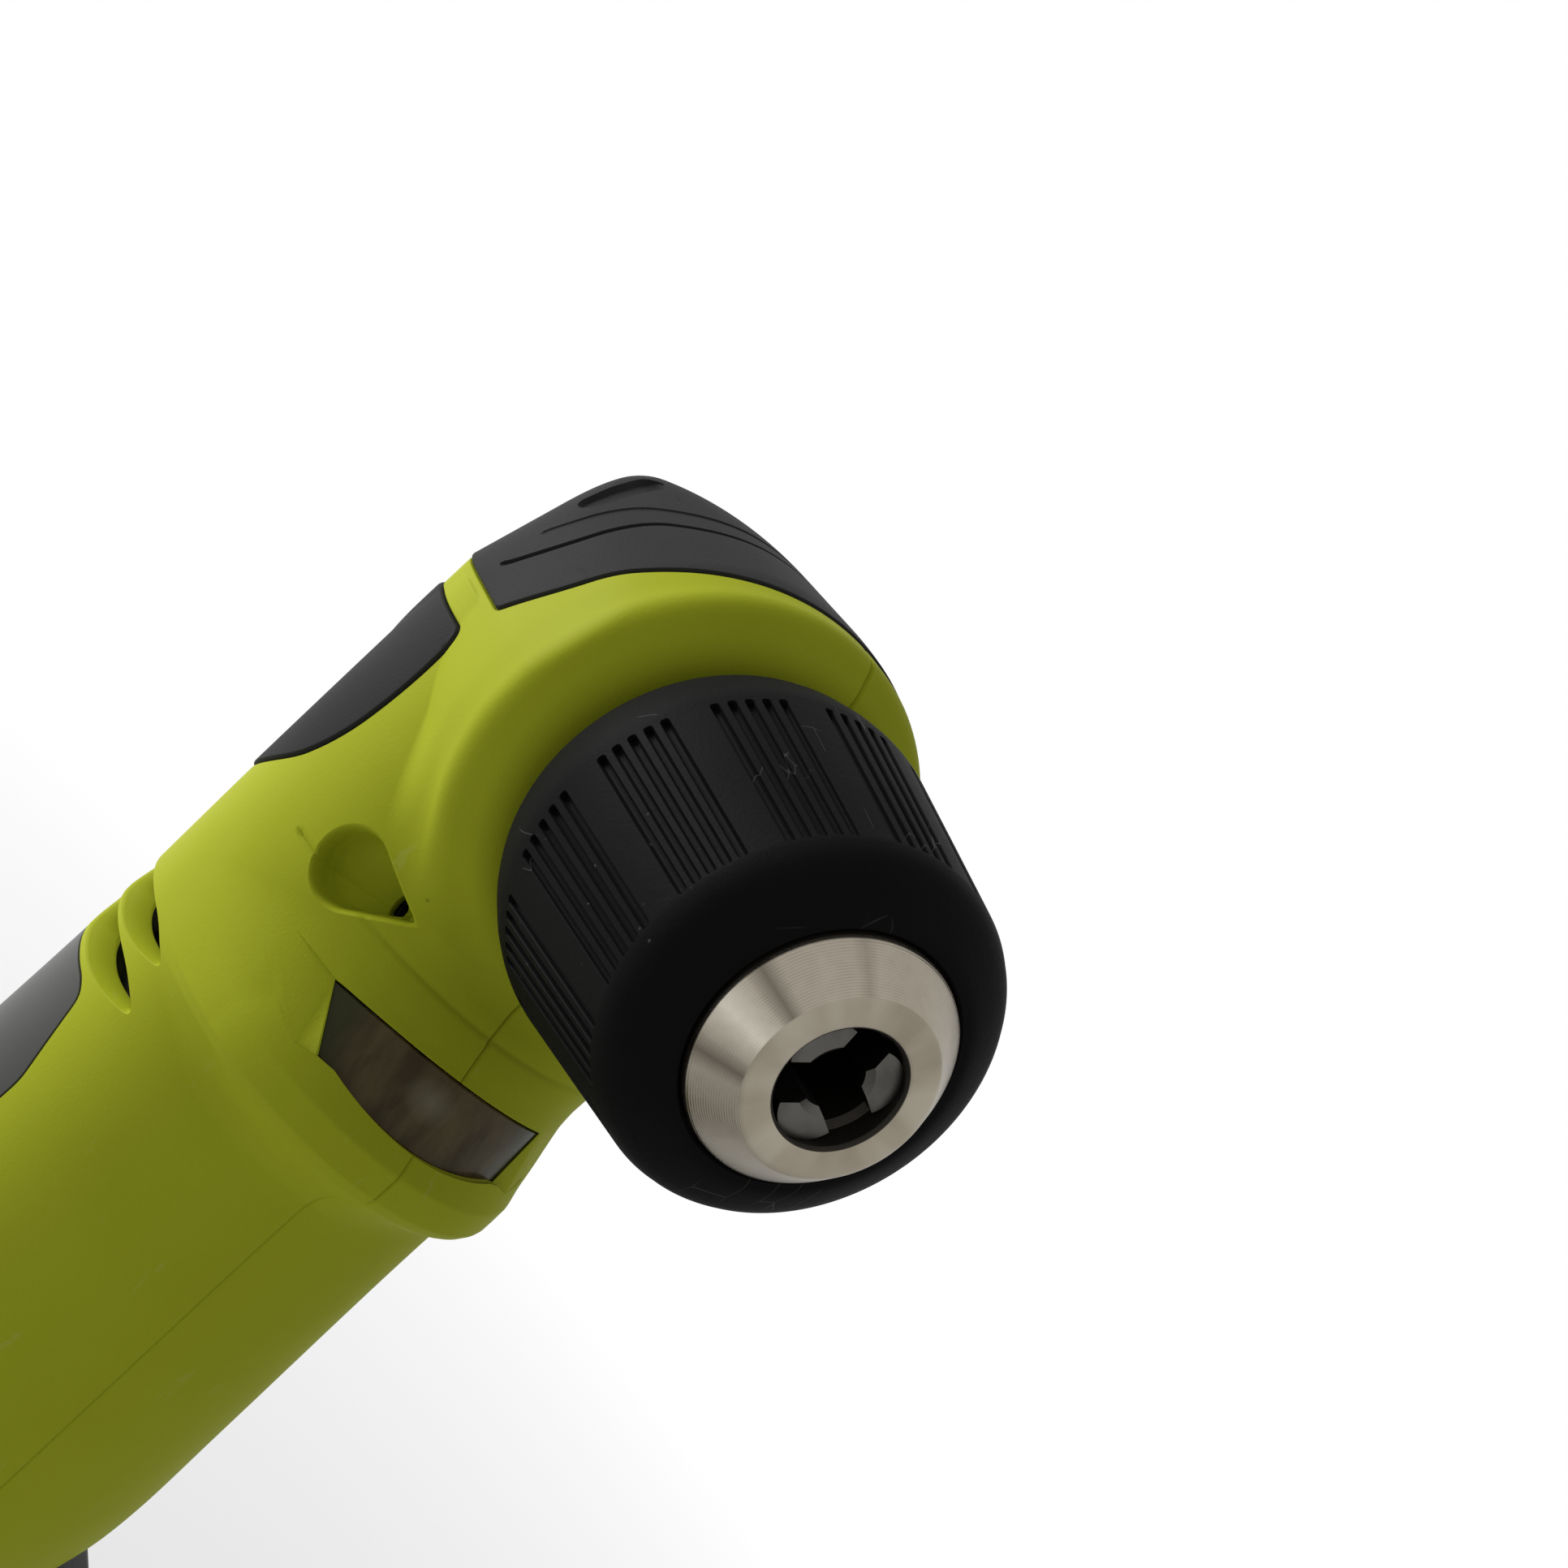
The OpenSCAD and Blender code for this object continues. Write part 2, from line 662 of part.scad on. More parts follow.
module planet_carrier() color(steel) on_handle() {
    ring(carrier_r, journal_r + fit, -stage_drop - 3.5, -stage_drop - gap);
    for (k = [0:2]) rotate(120 * k) translate([planet_orbit, 0, 0])
        ring(planet_pin_r, 0, -stage_drop - planet_width - 4.4, -stage_drop - 3);
}

module planet(k) color(steel) on_handle(stage_drop + planet_width + 4.1) rotate(120 * (k - 1))
    translate([planet_orbit, 0, 0]) difference() {
        spur_gear(planet_teeth, planet_width);
        translate([0, 0, -1]) cylinder(r = planet_pin_r + fit, h = planet_width + 2);
    }

module sun_gear() color(steel) on_handle(stage_drop + planet_width + 4.6) difference() {
    spur_gear(sun_teeth, planet_width + 0.6);
    translate([0, 0, -1]) cylinder(r = motor_shaft_r + fit, h = planet_width + 3);
}

module motor_shaft() color(steel) on_handle()
    ring(motor_shaft_r, 0, -bell_drop - bell_len + 1.2, -stage_drop - 3.9);

module fan() color([0.15, 0.15, 0.15]) on_handle(fan_drop + 6.5) {
    ring(5, motor_shaft_r + fit, 0, 6);
    ring(20, 4.5, 0, 1.2);
    for (k = [0:fan_blades - 1]) rotate(360 * k / fan_blades) translate([4.5, 0, 0.6])
        cube([15, 1, 5]);
}

module motor_can() color([0.5, 0.5, 0.5]) on_handle(bell_drop) difference() {
    cylinder(r = can_r, h = can_len);
    translate([0, 0, -1]) cylinder(r = can_r - 1.6, h = can_len - 0.6);
    cylinder(r = motor_shaft_r + fit, h = can_len + 1);
    for (k = [0:3]) rotate(45 + 90 * k) translate([9.5, 0, 0]) cylinder(r = 3.2, h = can_len + 1);
}

module magnets() color([0.25, 0.25, 0.27]) on_handle(bell_drop - 3) for (side = [0, 180]) rotate(side)
    intersection() {
        ring(can_r - 1.7, can_r - 4.4, 0, can_len - 8);
        rotate(45) translate([0, 0, -1]) cube([30, 30, can_len]);
    }

module armature_core() color([0.45, 0.45, 0.47]) on_handle(bell_drop - 9)
    linear_extrude(can_len - 18) difference() {
        circle(r = can_r - 5.1);
        circle(r = motor_shaft_r + fit);
        for (k = [0:11]) rotate(30 * k) translate([can_r - 7.6, 0]) {
            circle(r = 1.7);
            translate([0, -0.6]) square([5, 1.2]);
        }
    }

module windings() color([0.72, 0.42, 0.22]) on_handle() {
    for (z = [-bell_drop + 6.2, -can_drop - 8.7]) translate([0, 0, z])
        rotate_extrude() translate([8, 0]) polygon([
            [-3.5, 0], [3.5, 0], [3.9, 1.2], [2.4, 2.5], [-2.4, 2.5], [-3.9, 1.2]]);
    for (k = [0:11]) rotate(30 * k) translate([can_r - 7.6, 0, -bell_drop + 6.3])
        cylinder(r = 1.5, h = can_len - 12.6, $fn = 16);
}

module commutator() color([0.75, 0.5, 0.3]) on_handle(bell_drop + 1.5) difference() {
    ring(5.2, motor_shaft_r + fit, 0, 7);
    for (k = [0:11]) rotate(30 * k + 15) translate([4.4, -0.2, -1]) cube([2, 0.4, 9]);
}

module end_bell() color([0.2, 0.2, 0.2]) on_handle(bell_drop + bell_len) difference() {
    union() {
        ring(can_r, 0, 0, bell_len - 0.1);
        ring(can_r - 1.8, can_r - 4, bell_len - 1, bell_len + 2);
    }
    translate([0, 0, 2.4]) cylinder(r = can_r - 4, h = bell_len + 2);
    translate([0, 0, -1]) cylinder(r = motor_shaft_r + fit, h = 5);
    translate([-30, -2.5, 3.9]) cube([60, 5, 3.4]);
}

module brushes() color([0.15, 0.15, 0.15]) on_handle(bell_drop + bell_len) for (side = [0, 180])
    rotate(side) translate([5.4, -2.3, 4.1]) cube([can_r - 5.6, 4.6, 3]);

module chuck_body() color(steel) on_chuck() difference() {
    rotate_extrude() polygon([
        [socket_r + fit, chuck_back], [core_r, chuck_back], [core_r, nut_back], [slot_r, nut_back],
        [slot_r, nut_front], [core_front_r, nut_front], [core_front_r, core_front],
        [nose_r + 0.2, core_front], [nose_r, nose_base], [nose_hole_r + 3, nose_x],
        [nose_hole_r + 0.3, nose_x], [nose_hole_r, nose_x - 0.4], [nose_hole_r, nose_x - 2.6],
        [bit_bore_r, nose_x - 3.2], [bit_bore_r, screw_seat], [2.7, screw_seat], [2.7, socket_end],
        [socket_r + fit, socket_end]]);
    at_jaws() along_jaw() translate([0, 0, -60]) cylinder(r = jaw_r + fit, h = 61);
}

// The three directions of the jaws round the chuck's axis
module at_jaws() for (k = [0:2]) rotate(jaw_turn + 120 * k) children();

// A frame on a jaw's path, with its origin in the plane of the nose
module along_jaw() translate([jaw_face_r, 0, nose_x]) rotate([0, -jaw_tilt, 0]) children();

module jaw(k) color(steel) on_chuck() rotate(jaw_turn + 120 * (k - 1)) difference() {
    intersection() {
        along_jaw() union() {
            translate([0, 0, -jaw_len]) difference() {
                cylinder(r = jaw_r, h = jaw_len + 3);
                for (i = [1:12]) translate([0, 0, thread_pitch * i - 0.3]) difference() {
                    translate([0, -jaw_r - 1, 0]) cube([jaw_r + 1, 2 * jaw_r + 2, 0.6]);
                    translate([0, 0, -1]) cylinder(r = jaw_r - 0.5, h = 3);
                }
            }
        }
        translate([0, 0, chuck_back - 20]) linear_extrude(nose_x - 0.1 - chuck_back + 20)
            polygon([[apex_r, 0], [apex_r + 20, -20 * tan(60)], [apex_r + 20, 20 * tan(60)]]);
    }
    translate([0, 0, chuck_back]) cylinder(r = grip_r, h = 60);
}

module split_nut() color(steel) on_chuck() difference() {
    inner_back = jaw_face_r + (nose_x - nut_back) * tan(jaw_tilt) + jaw_r / cos(jaw_tilt) + gap;
    inner_front = jaw_face_r + (nose_x - nut_front) * tan(jaw_tilt) + jaw_r / cos(jaw_tilt) + gap;
    rotate_extrude() polygon([
        [inner_back, nut_back + gap], [nut_r, nut_back + gap], [nut_r, nut_front - gap],
        [inner_front + 0.08, nut_front - gap]]);
    translate([-30, -gap / 2, nut_back - 1]) cube([60, gap, 10]);
}

module chuck_screw() color([0.3, 0.3, 0.3]) on_chuck() difference() {
    union() {
        ring(3.6, 0, screw_seat, screw_seat + 2.6);
        ring(2.5, 0, socket_end - 9, screw_seat + 0.1);
    }
    translate([0, 0, screw_seat + 1]) cylinder(r = 1.6, h = 5, $fn = 6);
}

module spindle() color(steel) on_chuck() rotate_extrude() polygon([
    [0, rear_bearing_x - 0.5], [journal_r, rear_bearing_x - 0.5],
    [journal_r, rear_bearing_x + rear_bearing_w + 0.2],
    [shaft_r, rear_bearing_x + rear_bearing_w + 0.2], [shaft_r, front_bearing_x + front_bearing_w + 1],
    [8.4, front_bearing_x + front_bearing_w + 1], [8.4, chuck_back], [socket_r, chuck_back],
    [socket_r, socket_end], [2.55, socket_end], [2.55, socket_end - 10], [0, socket_end - 10]]);

module chuck_sleeve() color([0.09, 0.09, 0.09]) on_chuck() difference() {
    slope = (sleeve_r - sleeve_rim_r) / (sleeve_len - 7.3);
    groove_tilt = atan(slope);
    rotate_extrude() polygon([
        [core_r + gap + 0.1, sleeve_back], [sleeve_r - 1.9, sleeve_back],
        [sleeve_r - 1.3, sleeve_back + 0.3], [sleeve_r - 0.6, sleeve_back + 2.2],
        [sleeve_r - 0.15, sleeve_back + 4.6], [sleeve_r, sleeve_back + 7.3],
        [sleeve_rim_r, rim_x], [sleeve_rim_r - 2, rim_x + 2.3], [nose_r + 1.2, rim_x + 4],
        [nose_r + 1, core_front + gap], [core_front_r + gap, core_front + gap],
        [core_front_r + gap, nut_front], [nut_r + 0.15, nut_front], [nut_r + 0.15, nut_back],
        [core_r + gap + 0.1, nut_back]]);
    for (g = [0:groove_groups - 1]) for (k = [0:grooves_per_group - 1])
        rotate(16 + 360 / groove_groups * g + groove_pitch * (k - (grooves_per_group - 1) / 2))
            translate([sleeve_r + 0.1, 0, sleeve_back + 8.2]) rotate([0, -groove_tilt, 0]) {
                sphere(r = groove_r, $fn = 16);
                cylinder(r = groove_r, h = sleeve_len, $fn = 16);
            }
}

module switch_module() color([0.12, 0.12, 0.13]) on_handle() difference() {
    translate([-16, -11, -switch_drop - 43]) cube([16 + switch_x, 22, 43]);
    translate([-9, 0, -trigger_drop]) rotate([0, 90, 0]) cylinder(r = 3 + gap, h = 20);
}

module trigger_slab(x0, x1, half_w, half_h, round_r) {
    translate([0, 0, chuck_height - trigger_drop]) rotate([0, 90, 0]) translate([0, 0, x0])
        linear_extrude(x1 - x0) offset(r = round_r)
            square([2 * (half_h - round_r), 2 * (half_w - round_r)], center = true);
}

module trigger() color([0.08, 0.08, 0.08]) {
    trigger_slab(flange_x, flange_x + 1.6, trigger_w / 2 + 1.5, trigger_h / 2 + 1.5, 1);
    trigger_slab(flange_x + 1, grip_front + trigger_out - 3, trigger_w / 2, trigger_h / 2, 2);
    intersection() {
        trigger_slab(flange_x + 1, grip_front + trigger_out, trigger_w / 2, trigger_h / 2, 2);
        on_handle(trigger_drop) translate([grip_front + trigger_out - 110, 0, 0]) rotate([90, 0, 0])
            cylinder(r = 110, h = 40, center = true, $fn = 180);
    }
    on_handle(trigger_drop) translate([-2.5, 0, 0]) rotate([0, 90, 0]) cylinder(r = 3, h = flange_x + 3);
}

module trigger_spring() color(steel) {
    turns = 4;
    steps = 12;
    reach = flange_x - switch_x - 1;
    for (i = [0:turns * steps - 1])
        hull() for (k = [i, i + 1])
            on_handle(trigger_drop) translate([switch_x + 0.5 + reach * k / (turns * steps), 0, 0])
                rotate([360 * k / steps, 0, 0]) translate([0, 4.4, 0]) sphere(r = 0.4, $fn = 6);
}

module direction_selector() color([0.1, 0.1, 0.1]) on_handle(selector_drop) translate([10, 0, 0]) {
    cube([12, 2 * selector_half, 6], center = true);
    translate([-8, -2, -7]) cube([4, 4, 8]);
}

module terminal_block() color([0.15, 0.3, 0.2]) on_handle(stem_drop) {
    translate([-14, -12, 2]) cube([24, 24, 12]);
    for (y = [-7.4, 6.6]) translate([-6, y, -8]) cube([8, 0.8, 11]);
}

// A bent wire along hand-placed points
module wire(points, r = 1.1) {
    for (i = [0:len(points) - 2]) hull() {
        translate(points[i]) sphere(r = r, $fn = 8);
        translate(points[i + 1]) sphere(r = r, $fn = 8);
    }
}

module wires() color([0.6, 0.1, 0.08]) on_handle() for (side = [-1, 1]) {
    wire([[-6, 12 * side, -bell_drop - bell_len - 1.4], [-4, 12 * side, -selector_drop - 2],
        [-5, 7 * side, 1.4 - switch_drop]]);
    wire([[-5, 6 * side, -switch_drop - 44.4], [-4, 7 * side, -switch_drop - 55],
        [-4, 8 * side, 15.4 - stem_drop]]);
}

module pack_tub() color([0.16, 0.16, 0.17]) difference() {
    linear_extrude(tub_h) pack_plan(0);
    translate([0, 0, wall]) linear_extrude(tub_h) pack_plan(wall);
}

module pack_plan(d, sides = 48) polygon([for (k = [0:sides - 1]) let (
    p = super_point(pack_sections[2], d, 360 * k / sides)) [p[0], p[1]]]);

module pack_lid() color([0.13, 0.13, 0.14]) difference() {
    union() {
        translate([0, 0, pack_height]) skin(pack_sections, 0, sides = 48);
        stem_form(0, pack_height - 2, pack_height + stem_len);
    }
    difference() {
        translate([0, 0, pack_height]) skin(pack_sections, wall, sides = 48);
        translate([-100, -100, pack_height - wall]) cube([200, 200, 20]);
    }
    translate([-100, -100, tub_h - 10]) cube([200, 200, 10]);
    stem_form(-2.2, tub_h - 1, pack_height + stem_len - 2.4);
    for (y = [-7, 7]) translate([-9, y - 1.6, pack_height + stem_len - 12]) cube([14, 3.2, 20]);
    for (side = [-1, 1]) latch_space(side);
}

module latch_space(side) {
    translate([-10 - gap, min(side * latch_y, side * 60), tub_h + 2 - gap])
        cube([20 + 2 * gap, 60 - latch_y, 9 + gap]);
}

module latch(side) color([0.5, 0.53, 0.18]) {
    translate([-10, min(side * latch_inner, side * latch_outer), tub_h + 2])
        cube([20, latch_outer - latch_inner, 8.4]);
}

module pack_board() color([0.1, 0.35, 0.2])
    translate([pack_x - pack_len / 2 + 8.2, 9 - pack_width / 2, wall + 2 * gap + 2 * cell_r])
        cube([pack_len - 16, pack_width - 18, 1.4]);

module pack_terminals() color([0.8, 0.65, 0.3]) for (y = [-7, 7])
    translate([-7, y, pack_height + stem_len - 13]) difference() {
        translate([0, -1.3, 0]) cube([10, 2.6, 10.4]);
        translate([-1, -0.7, 1]) cube([12, 1.4, 12]);
    }

module cell(k) color([0.15, 0.45, 0.65]) {
    x = pack_x + (k - (cell_count + 1) / 2) * (2 * cell_r + gap);
    translate([x, cell_len / 2, wall + gap + cell_r]) rotate([90, 0, 0]) {
        cylinder(r = cell_r, h = cell_len - 1);
        cylinder(r = 3, h = cell_len);
    }
}

left_shell();
right_shell();
head_cap();
rear_grip();
handle_grip();
led_lens();
led_board();
label_plates();
shell_screws();
gear_case();
front_bearing();
rear_bearing();
pinion_bearing();
ring_gear();
motor_can();
magnets();
end_bell();
brushes();
switch_module();
terminal_block();
wires();
trigger_spring();
spindle();
bevel_gear();
chuck_body();
chuck_screw();
jaw(1);  // jaw_1
jaw(2);  // jaw_2
jaw(3);  // jaw_3
chuck_sleeve();
split_nut();
pinion_shaft();
planet_carrier();
planet(1);  // planet_1
planet(2);  // planet_2
planet(3);  // planet_3
motor_shaft();
sun_gear();
armature_core();
windings();
commutator();
fan();
trigger();
direction_selector();
pack_tub();
pack_lid();
pack_board();
pack_terminals();
cell(1);  // cell_1
cell(2);  // cell_2
cell(3);  // cell_3
cell(4);  // cell_4
cell(5);  // cell_5
latch(-1);  // latch_left
latch(1);  // latch_right
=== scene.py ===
"""A cordless right angle drill with a keyless chuck, dressed over its solid model."""
import json
import math
import bmesh
import bpy
import numpy as np
from mathutils import Matrix, Vector

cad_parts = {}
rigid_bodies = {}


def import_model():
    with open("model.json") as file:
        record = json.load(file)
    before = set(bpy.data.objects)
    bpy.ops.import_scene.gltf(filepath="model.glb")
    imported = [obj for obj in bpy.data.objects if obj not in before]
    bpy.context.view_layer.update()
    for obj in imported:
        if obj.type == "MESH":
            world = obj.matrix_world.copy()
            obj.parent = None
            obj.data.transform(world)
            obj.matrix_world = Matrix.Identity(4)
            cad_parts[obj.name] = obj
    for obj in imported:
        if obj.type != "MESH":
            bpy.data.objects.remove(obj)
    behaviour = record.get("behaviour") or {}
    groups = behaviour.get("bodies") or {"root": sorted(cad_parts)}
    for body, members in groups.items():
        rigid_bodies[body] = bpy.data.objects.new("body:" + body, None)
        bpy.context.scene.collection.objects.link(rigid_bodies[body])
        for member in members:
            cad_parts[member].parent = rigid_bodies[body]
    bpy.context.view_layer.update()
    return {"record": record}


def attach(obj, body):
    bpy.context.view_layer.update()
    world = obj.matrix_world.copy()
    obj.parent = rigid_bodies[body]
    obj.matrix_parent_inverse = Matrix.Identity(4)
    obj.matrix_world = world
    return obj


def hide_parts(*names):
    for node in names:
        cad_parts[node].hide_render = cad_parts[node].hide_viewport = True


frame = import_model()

MM = 0.001
CHUCK_H = 306.0          # height of the chuck's axis, in millimetres
scene = bpy.context.scene


# the camera
# Right, up and back of the camera, and its place, as the photograph was taken
right = Vector((0.3209, 0.5940, 0.7377))
up = Vector((-0.4458, -0.5925, 0.6710))
eye = Vector((0.1918, -0.1077, 0.3317))
back = right.cross(up).normalized()
right = up.cross(back).normalized()
camera = bpy.data.objects.new("camera", bpy.data.cameras.new("camera"))
scene.collection.objects.link(camera)
camera.matrix_world = Matrix([(right[i], up[i], back[i], eye[i]) for i in range(3)] + [(0, 0, 0, 1)])
camera.data.sensor_width = 36
camera.data.lens = 46.58
camera.data.clip_start = 0.002
scene.camera = camera


# shader and geometry maths
class Value:
    """A node socket whose arithmetic adds Math nodes to its tree."""

    def __init__(self, graph, socket):
        self.graph, self.socket = graph, socket

    def math(self, operation, *others):
        return self.graph.node("ShaderNodeMath", {"operation": operation}, dict(enumerate((self,) + others)))

    def __add__(self, other):
        return self.math("ADD", other)

    def __mul__(self, other):
        return self.math("MULTIPLY", other)

    def __sub__(self, other):
        return self.math("SUBTRACT", other)

    def __truediv__(self, other):
        return self.math("DIVIDE", other)

    def __neg__(self):
        return self.math("MULTIPLY", -1.0)

    def __rsub__(self, other):
        return (-self) + other

    def __mod__(self, other):
        return self.math("MODULO", other)

    __radd__, __rmul__ = __add__, __mul__

    def clamp(self):
        return self.math("MAXIMUM", 0.0).math("MINIMUM", 1.0)

    def above(self, edge, width):
        return ((self - edge) / width).clamp()

    def below(self, edge, width):
        return ((edge - self) / width).clamp()

    def near(self, place, width):
        return (1.0 - (self - place).math("ABSOLUTE") / width).clamp()


class Graph:
    """A node tree that is filled by calls."""

    def __init__(self, tree):
        self.tree = tree

    def put(self, socket, value):
        if isinstance(value, Value):
            self.tree.links.new(value.socket, socket)
        elif isinstance(value, (tuple, list)) and len(value) == 3 and len(socket.default_value) == 4:
            socket.default_value = (*value, 1)
        else:
            socket.default_value = value

    def node(self, kind, settings=None, inputs=None, output=0):
        node = self.tree.nodes.new(kind)
        for key, value in (settings or {}).items():
            setattr(node, key, value)
        for key, value in (inputs or {}).items():
            self.put(node.inputs[key], value)
        return Value(self, node.outputs[output])

    def seen(self):
        """One for a ray from the camera, a reflection or a clear piece, and zero for light that falls."""
        ray = self.node("ShaderNodeLightPath").socket.node.outputs
        camera_ray, glossy, through = (Value(self, ray["Is %s Ray" % kind]) for kind in (
            "Camera", "Glossy", "Transmission"))
        return (camera_ray + glossy + through).clamp()


class Paint(Graph):
    """A material of one finish, built from its Principled shader."""

    def __init__(self, name, colour, roughness, **fixed):
        self.material = bpy.data.materials.new(name)
        self.material.use_nodes = True
        super().__init__(self.material.node_tree)
        self.shader = self.tree.nodes["Principled BSDF"]
        self.output = self.tree.nodes["Material Output"]
        self.material.diffuse_color = (*colour, 1)
        self.set("Base Color", colour)
        self.set("Roughness", roughness)
        for socket, value in fixed.items():
            self.set(socket.replace("_", " "), value)

    def set(self, name, value):
        self.put(self.shader.inputs[name], value)

    def place(self):
        return self.node("ShaderNodeTexCoord", output=3)

    def axes(self):
        split = self.node("ShaderNodeSeparateXYZ", inputs={0: self.place()})
        return [Value(self, split.socket.node.outputs[i]) for i in range(3)]

    def stretched(self, scale):
        return self.node("ShaderNodeMapping", inputs={"Vector": self.place(), "Scale": scale})

    def noise(self, scale, detail=2.0, rough=0.5, at=None):
        return self.node("ShaderNodeTexNoise", inputs={
            "Vector": at or self.place(), "Scale": scale, "Detail": detail, "Roughness": rough})

    def cells(self, scale, at=None, feature="F1", distance="EUCLIDEAN"):
        return self.node("ShaderNodeTexVoronoi", {"feature": feature, "distance": distance}, {
            "Vector": at or self.place(), "Scale": scale})

    def mix(self, factor, low, high):
        return self.node("ShaderNodeMix", {"data_type": "RGBA"}, {0: factor, 6: low, 7: high}, 2)

    def bump(self, height, distance, strength=1.0):
        return self.node("ShaderNodeBump", inputs={
            "Height": height, "Distance": distance, "Strength": strength})


class Recipe(Graph):
    """A Geometry Nodes tree with named inputs, run once and kept as plain mesh."""

    def __init__(self, name, **inputs):
        super().__init__(bpy.data.node_groups.new(name, "GeometryNodeTree"))
        sockets = self.tree.interface
        sockets.new_socket("Geometry", in_out="OUTPUT", socket_type="NodeSocketGeometry")
        self.identifiers = {key: sockets.new_socket(
            key, in_out="INPUT", socket_type="NodeSocket" + kind).identifier for key, kind in inputs.items()}
        self.given = self.tree.nodes.new("NodeGroupInput")
        self.result = self.tree.nodes.new("NodeGroupOutput")

    def get(self, key):
        return Value(self, self.given.outputs[key])

    def finish(self, points, turn=(0.0, 0.0, 0.0)):
        """Puts a copy of the input Part at every point."""
        part = self.node("GeometryNodeObjectInfo", inputs={"Object": self.get("Part")}, output="Geometry")
        copies = self.node("GeometryNodeInstanceOnPoints", inputs={
            "Points": points, "Instance": part, "Rotation": turn})
        solid = self.node("GeometryNodeRealizeInstances", inputs={0: copies})
        painted = self.node("GeometryNodeSetMaterial", inputs={0: solid, "Material": self.get("Finish")})
        self.put(self.result.inputs[0], painted)
        return self

    def make(self, name, **values):
        obj = bpy.data.objects.new(name, bpy.data.meshes.new(name))
        scene.collection.objects.link(obj)
        change = obj.modifiers.new("recipe", "NODES")
        change.node_group = self.tree
        for key, value in values.items():
            change[self.identifiers[key]] = value
        return applied(obj)


def spun_copies():
    """Copies of a part round the chuck's axis, in groups."""
    recipe = Recipe("spun copies", Part="Object", Finish="Material", Groups="Int", Each="Int", Pitch="Float",
                    First="Float")
    groups, each = recipe.get("Groups"), recipe.get("Each")
    number = recipe.node("GeometryNodeInputIndex")
    points = recipe.node("GeometryNodePoints", inputs={
        "Count": groups * each, "Position": (0.0, 0.0, CHUCK_H * MM)})
    group = (number / each).math("FLOOR")
    angle = recipe.get("First") + group * math.tau / groups + (number % each) * recipe.get("Pitch")
    turn = recipe.node("ShaderNodeCombineXYZ", inputs={0: angle})
    return recipe.finish(points, turn)


def placed_copies():
    """Copies of a part at the corners of another object."""
    recipe = Recipe("placed copies", Part="Object", Finish="Material", Marks="Object")
    marks = recipe.node("GeometryNodeObjectInfo", inputs={"Object": recipe.get("Marks")}, output="Geometry")
    return recipe.finish(marks)


def ranked_copies():
    """Copies of a part in a straight row."""
    recipe = Recipe("ranked copies", Part="Object", Finish="Material", Count="Int", Start="Vector",
                    End="Vector")
    row = recipe.node("GeometryNodeMeshLine", {"mode": "END_POINTS"}, {
        "Count": recipe.get("Count"), "Start Location": recipe.get("Start"), "Offset": recipe.get("End")})
    return recipe.finish(row)


def linear(*srgb):
    """A colour given as 0 to 255 on the screen."""
    return tuple(((c / 255 + 0.055) / 1.055) ** 2.4 if c > 10 else c / 255 / 12.92 for c in srgb)


# finishes
def moulded(name, colour, shade, roughness, grain=0.00003, specks=0.0, gloss=0.5):
    """Moulded plastic with a fine spark-eroded grain, uneven tone, dust and faint scuffs."""
    paint = Paint(name, colour, roughness, Specular_IOR_Level=gloss)
    cloud = paint.noise(45.0, 3.0)
    fine = paint.noise(2600.0, 2.0, 0.6)
    tone = paint.mix(cloud.above(0.35, 0.35) * 0.6, colour, shade)
    scuff = paint.noise(70.0, 3.0, 0.7, paint.stretched((1.0, 6.0, 1.6))).above(0.66, 0.05)
    if specks:
        dirt = paint.cells(210.0).below(0.06, 0.03) * paint.noise(31.0, 1.0).above(0.54, 0.05)
        tone = paint.mix(dirt * specks, tone, linear(52, 54, 14))
        tone = paint.mix(scuff * 0.22, tone, linear(186, 190, 104))
    paint.set("Base Color", tone)
    paint.set("Roughness", cloud * 0.12 + fine * 0.08 + scuff * 0.08 + (roughness - 0.1))
    paint.set("Normal", paint.bump(fine, grain, 0.8))
    return paint.material


def dusted(name, colour, shade, roughness, grain):
    """Near black rubbery plastic with pale grains of dust and a few fibres."""
    paint = Paint(name, colour, roughness, Specular_IOR_Level=0.02)
    cloud = paint.noise(60.0, 3.0)
    fine = paint.noise(2200.0, 2.0, 0.6)
    grains = paint.cells(420.0).below(0.09, 0.05) * paint.noise(90.0, 2.0).above(0.55, 0.08)
    fibre = paint.cells(130.0, paint.stretched((1.0, 2.4, 1.0)), feature="DISTANCE_TO_EDGE")
    fibre = fibre.below(0.012, 0.012) * paint.noise(120.0, 1.0).above(0.62, 0.04)
    tone = paint.mix(cloud.above(0.35, 0.35), colour, shade)
    tone = paint.mix(grains * 0.45 + fibre * 0.35, tone, linear(112, 112, 110))
    paint.set("Base Color", tone)
    paint.set("Roughness", cloud * 0.1 + fine * 0.08 + (roughness - 0.08))
    paint.set("Normal", paint.bump(fine + grains, grain, 0.8))
    return paint.material


def knurled():
    """The palm grip's rubber, with a field of small raised dots."""
    paint = Paint("palm_rubber", linear(36, 37, 38), 0.6, Specular_IOR_Level=0.25)
    fine = paint.noise(2200.0, 2.0)
    grid = [(axis * 2600.0).math("SINE") for axis in paint.axes()]
    dots = (grid[0] * grid[1] + grid[1] * grid[2] + grid[2] * grid[0]).above(0.1, 0.5)
    cloud = paint.noise(50.0).above(0.4, 0.3)
    paint.set("Base Color", paint.mix(cloud, linear(38, 39, 40), linear(32, 33, 34)))
    paint.set("Roughness", fine * 0.1 + 0.55)
    paint.set("Normal", paint.bump(dots + fine * 0.1, 0.00012, 0.8))
    return paint.material


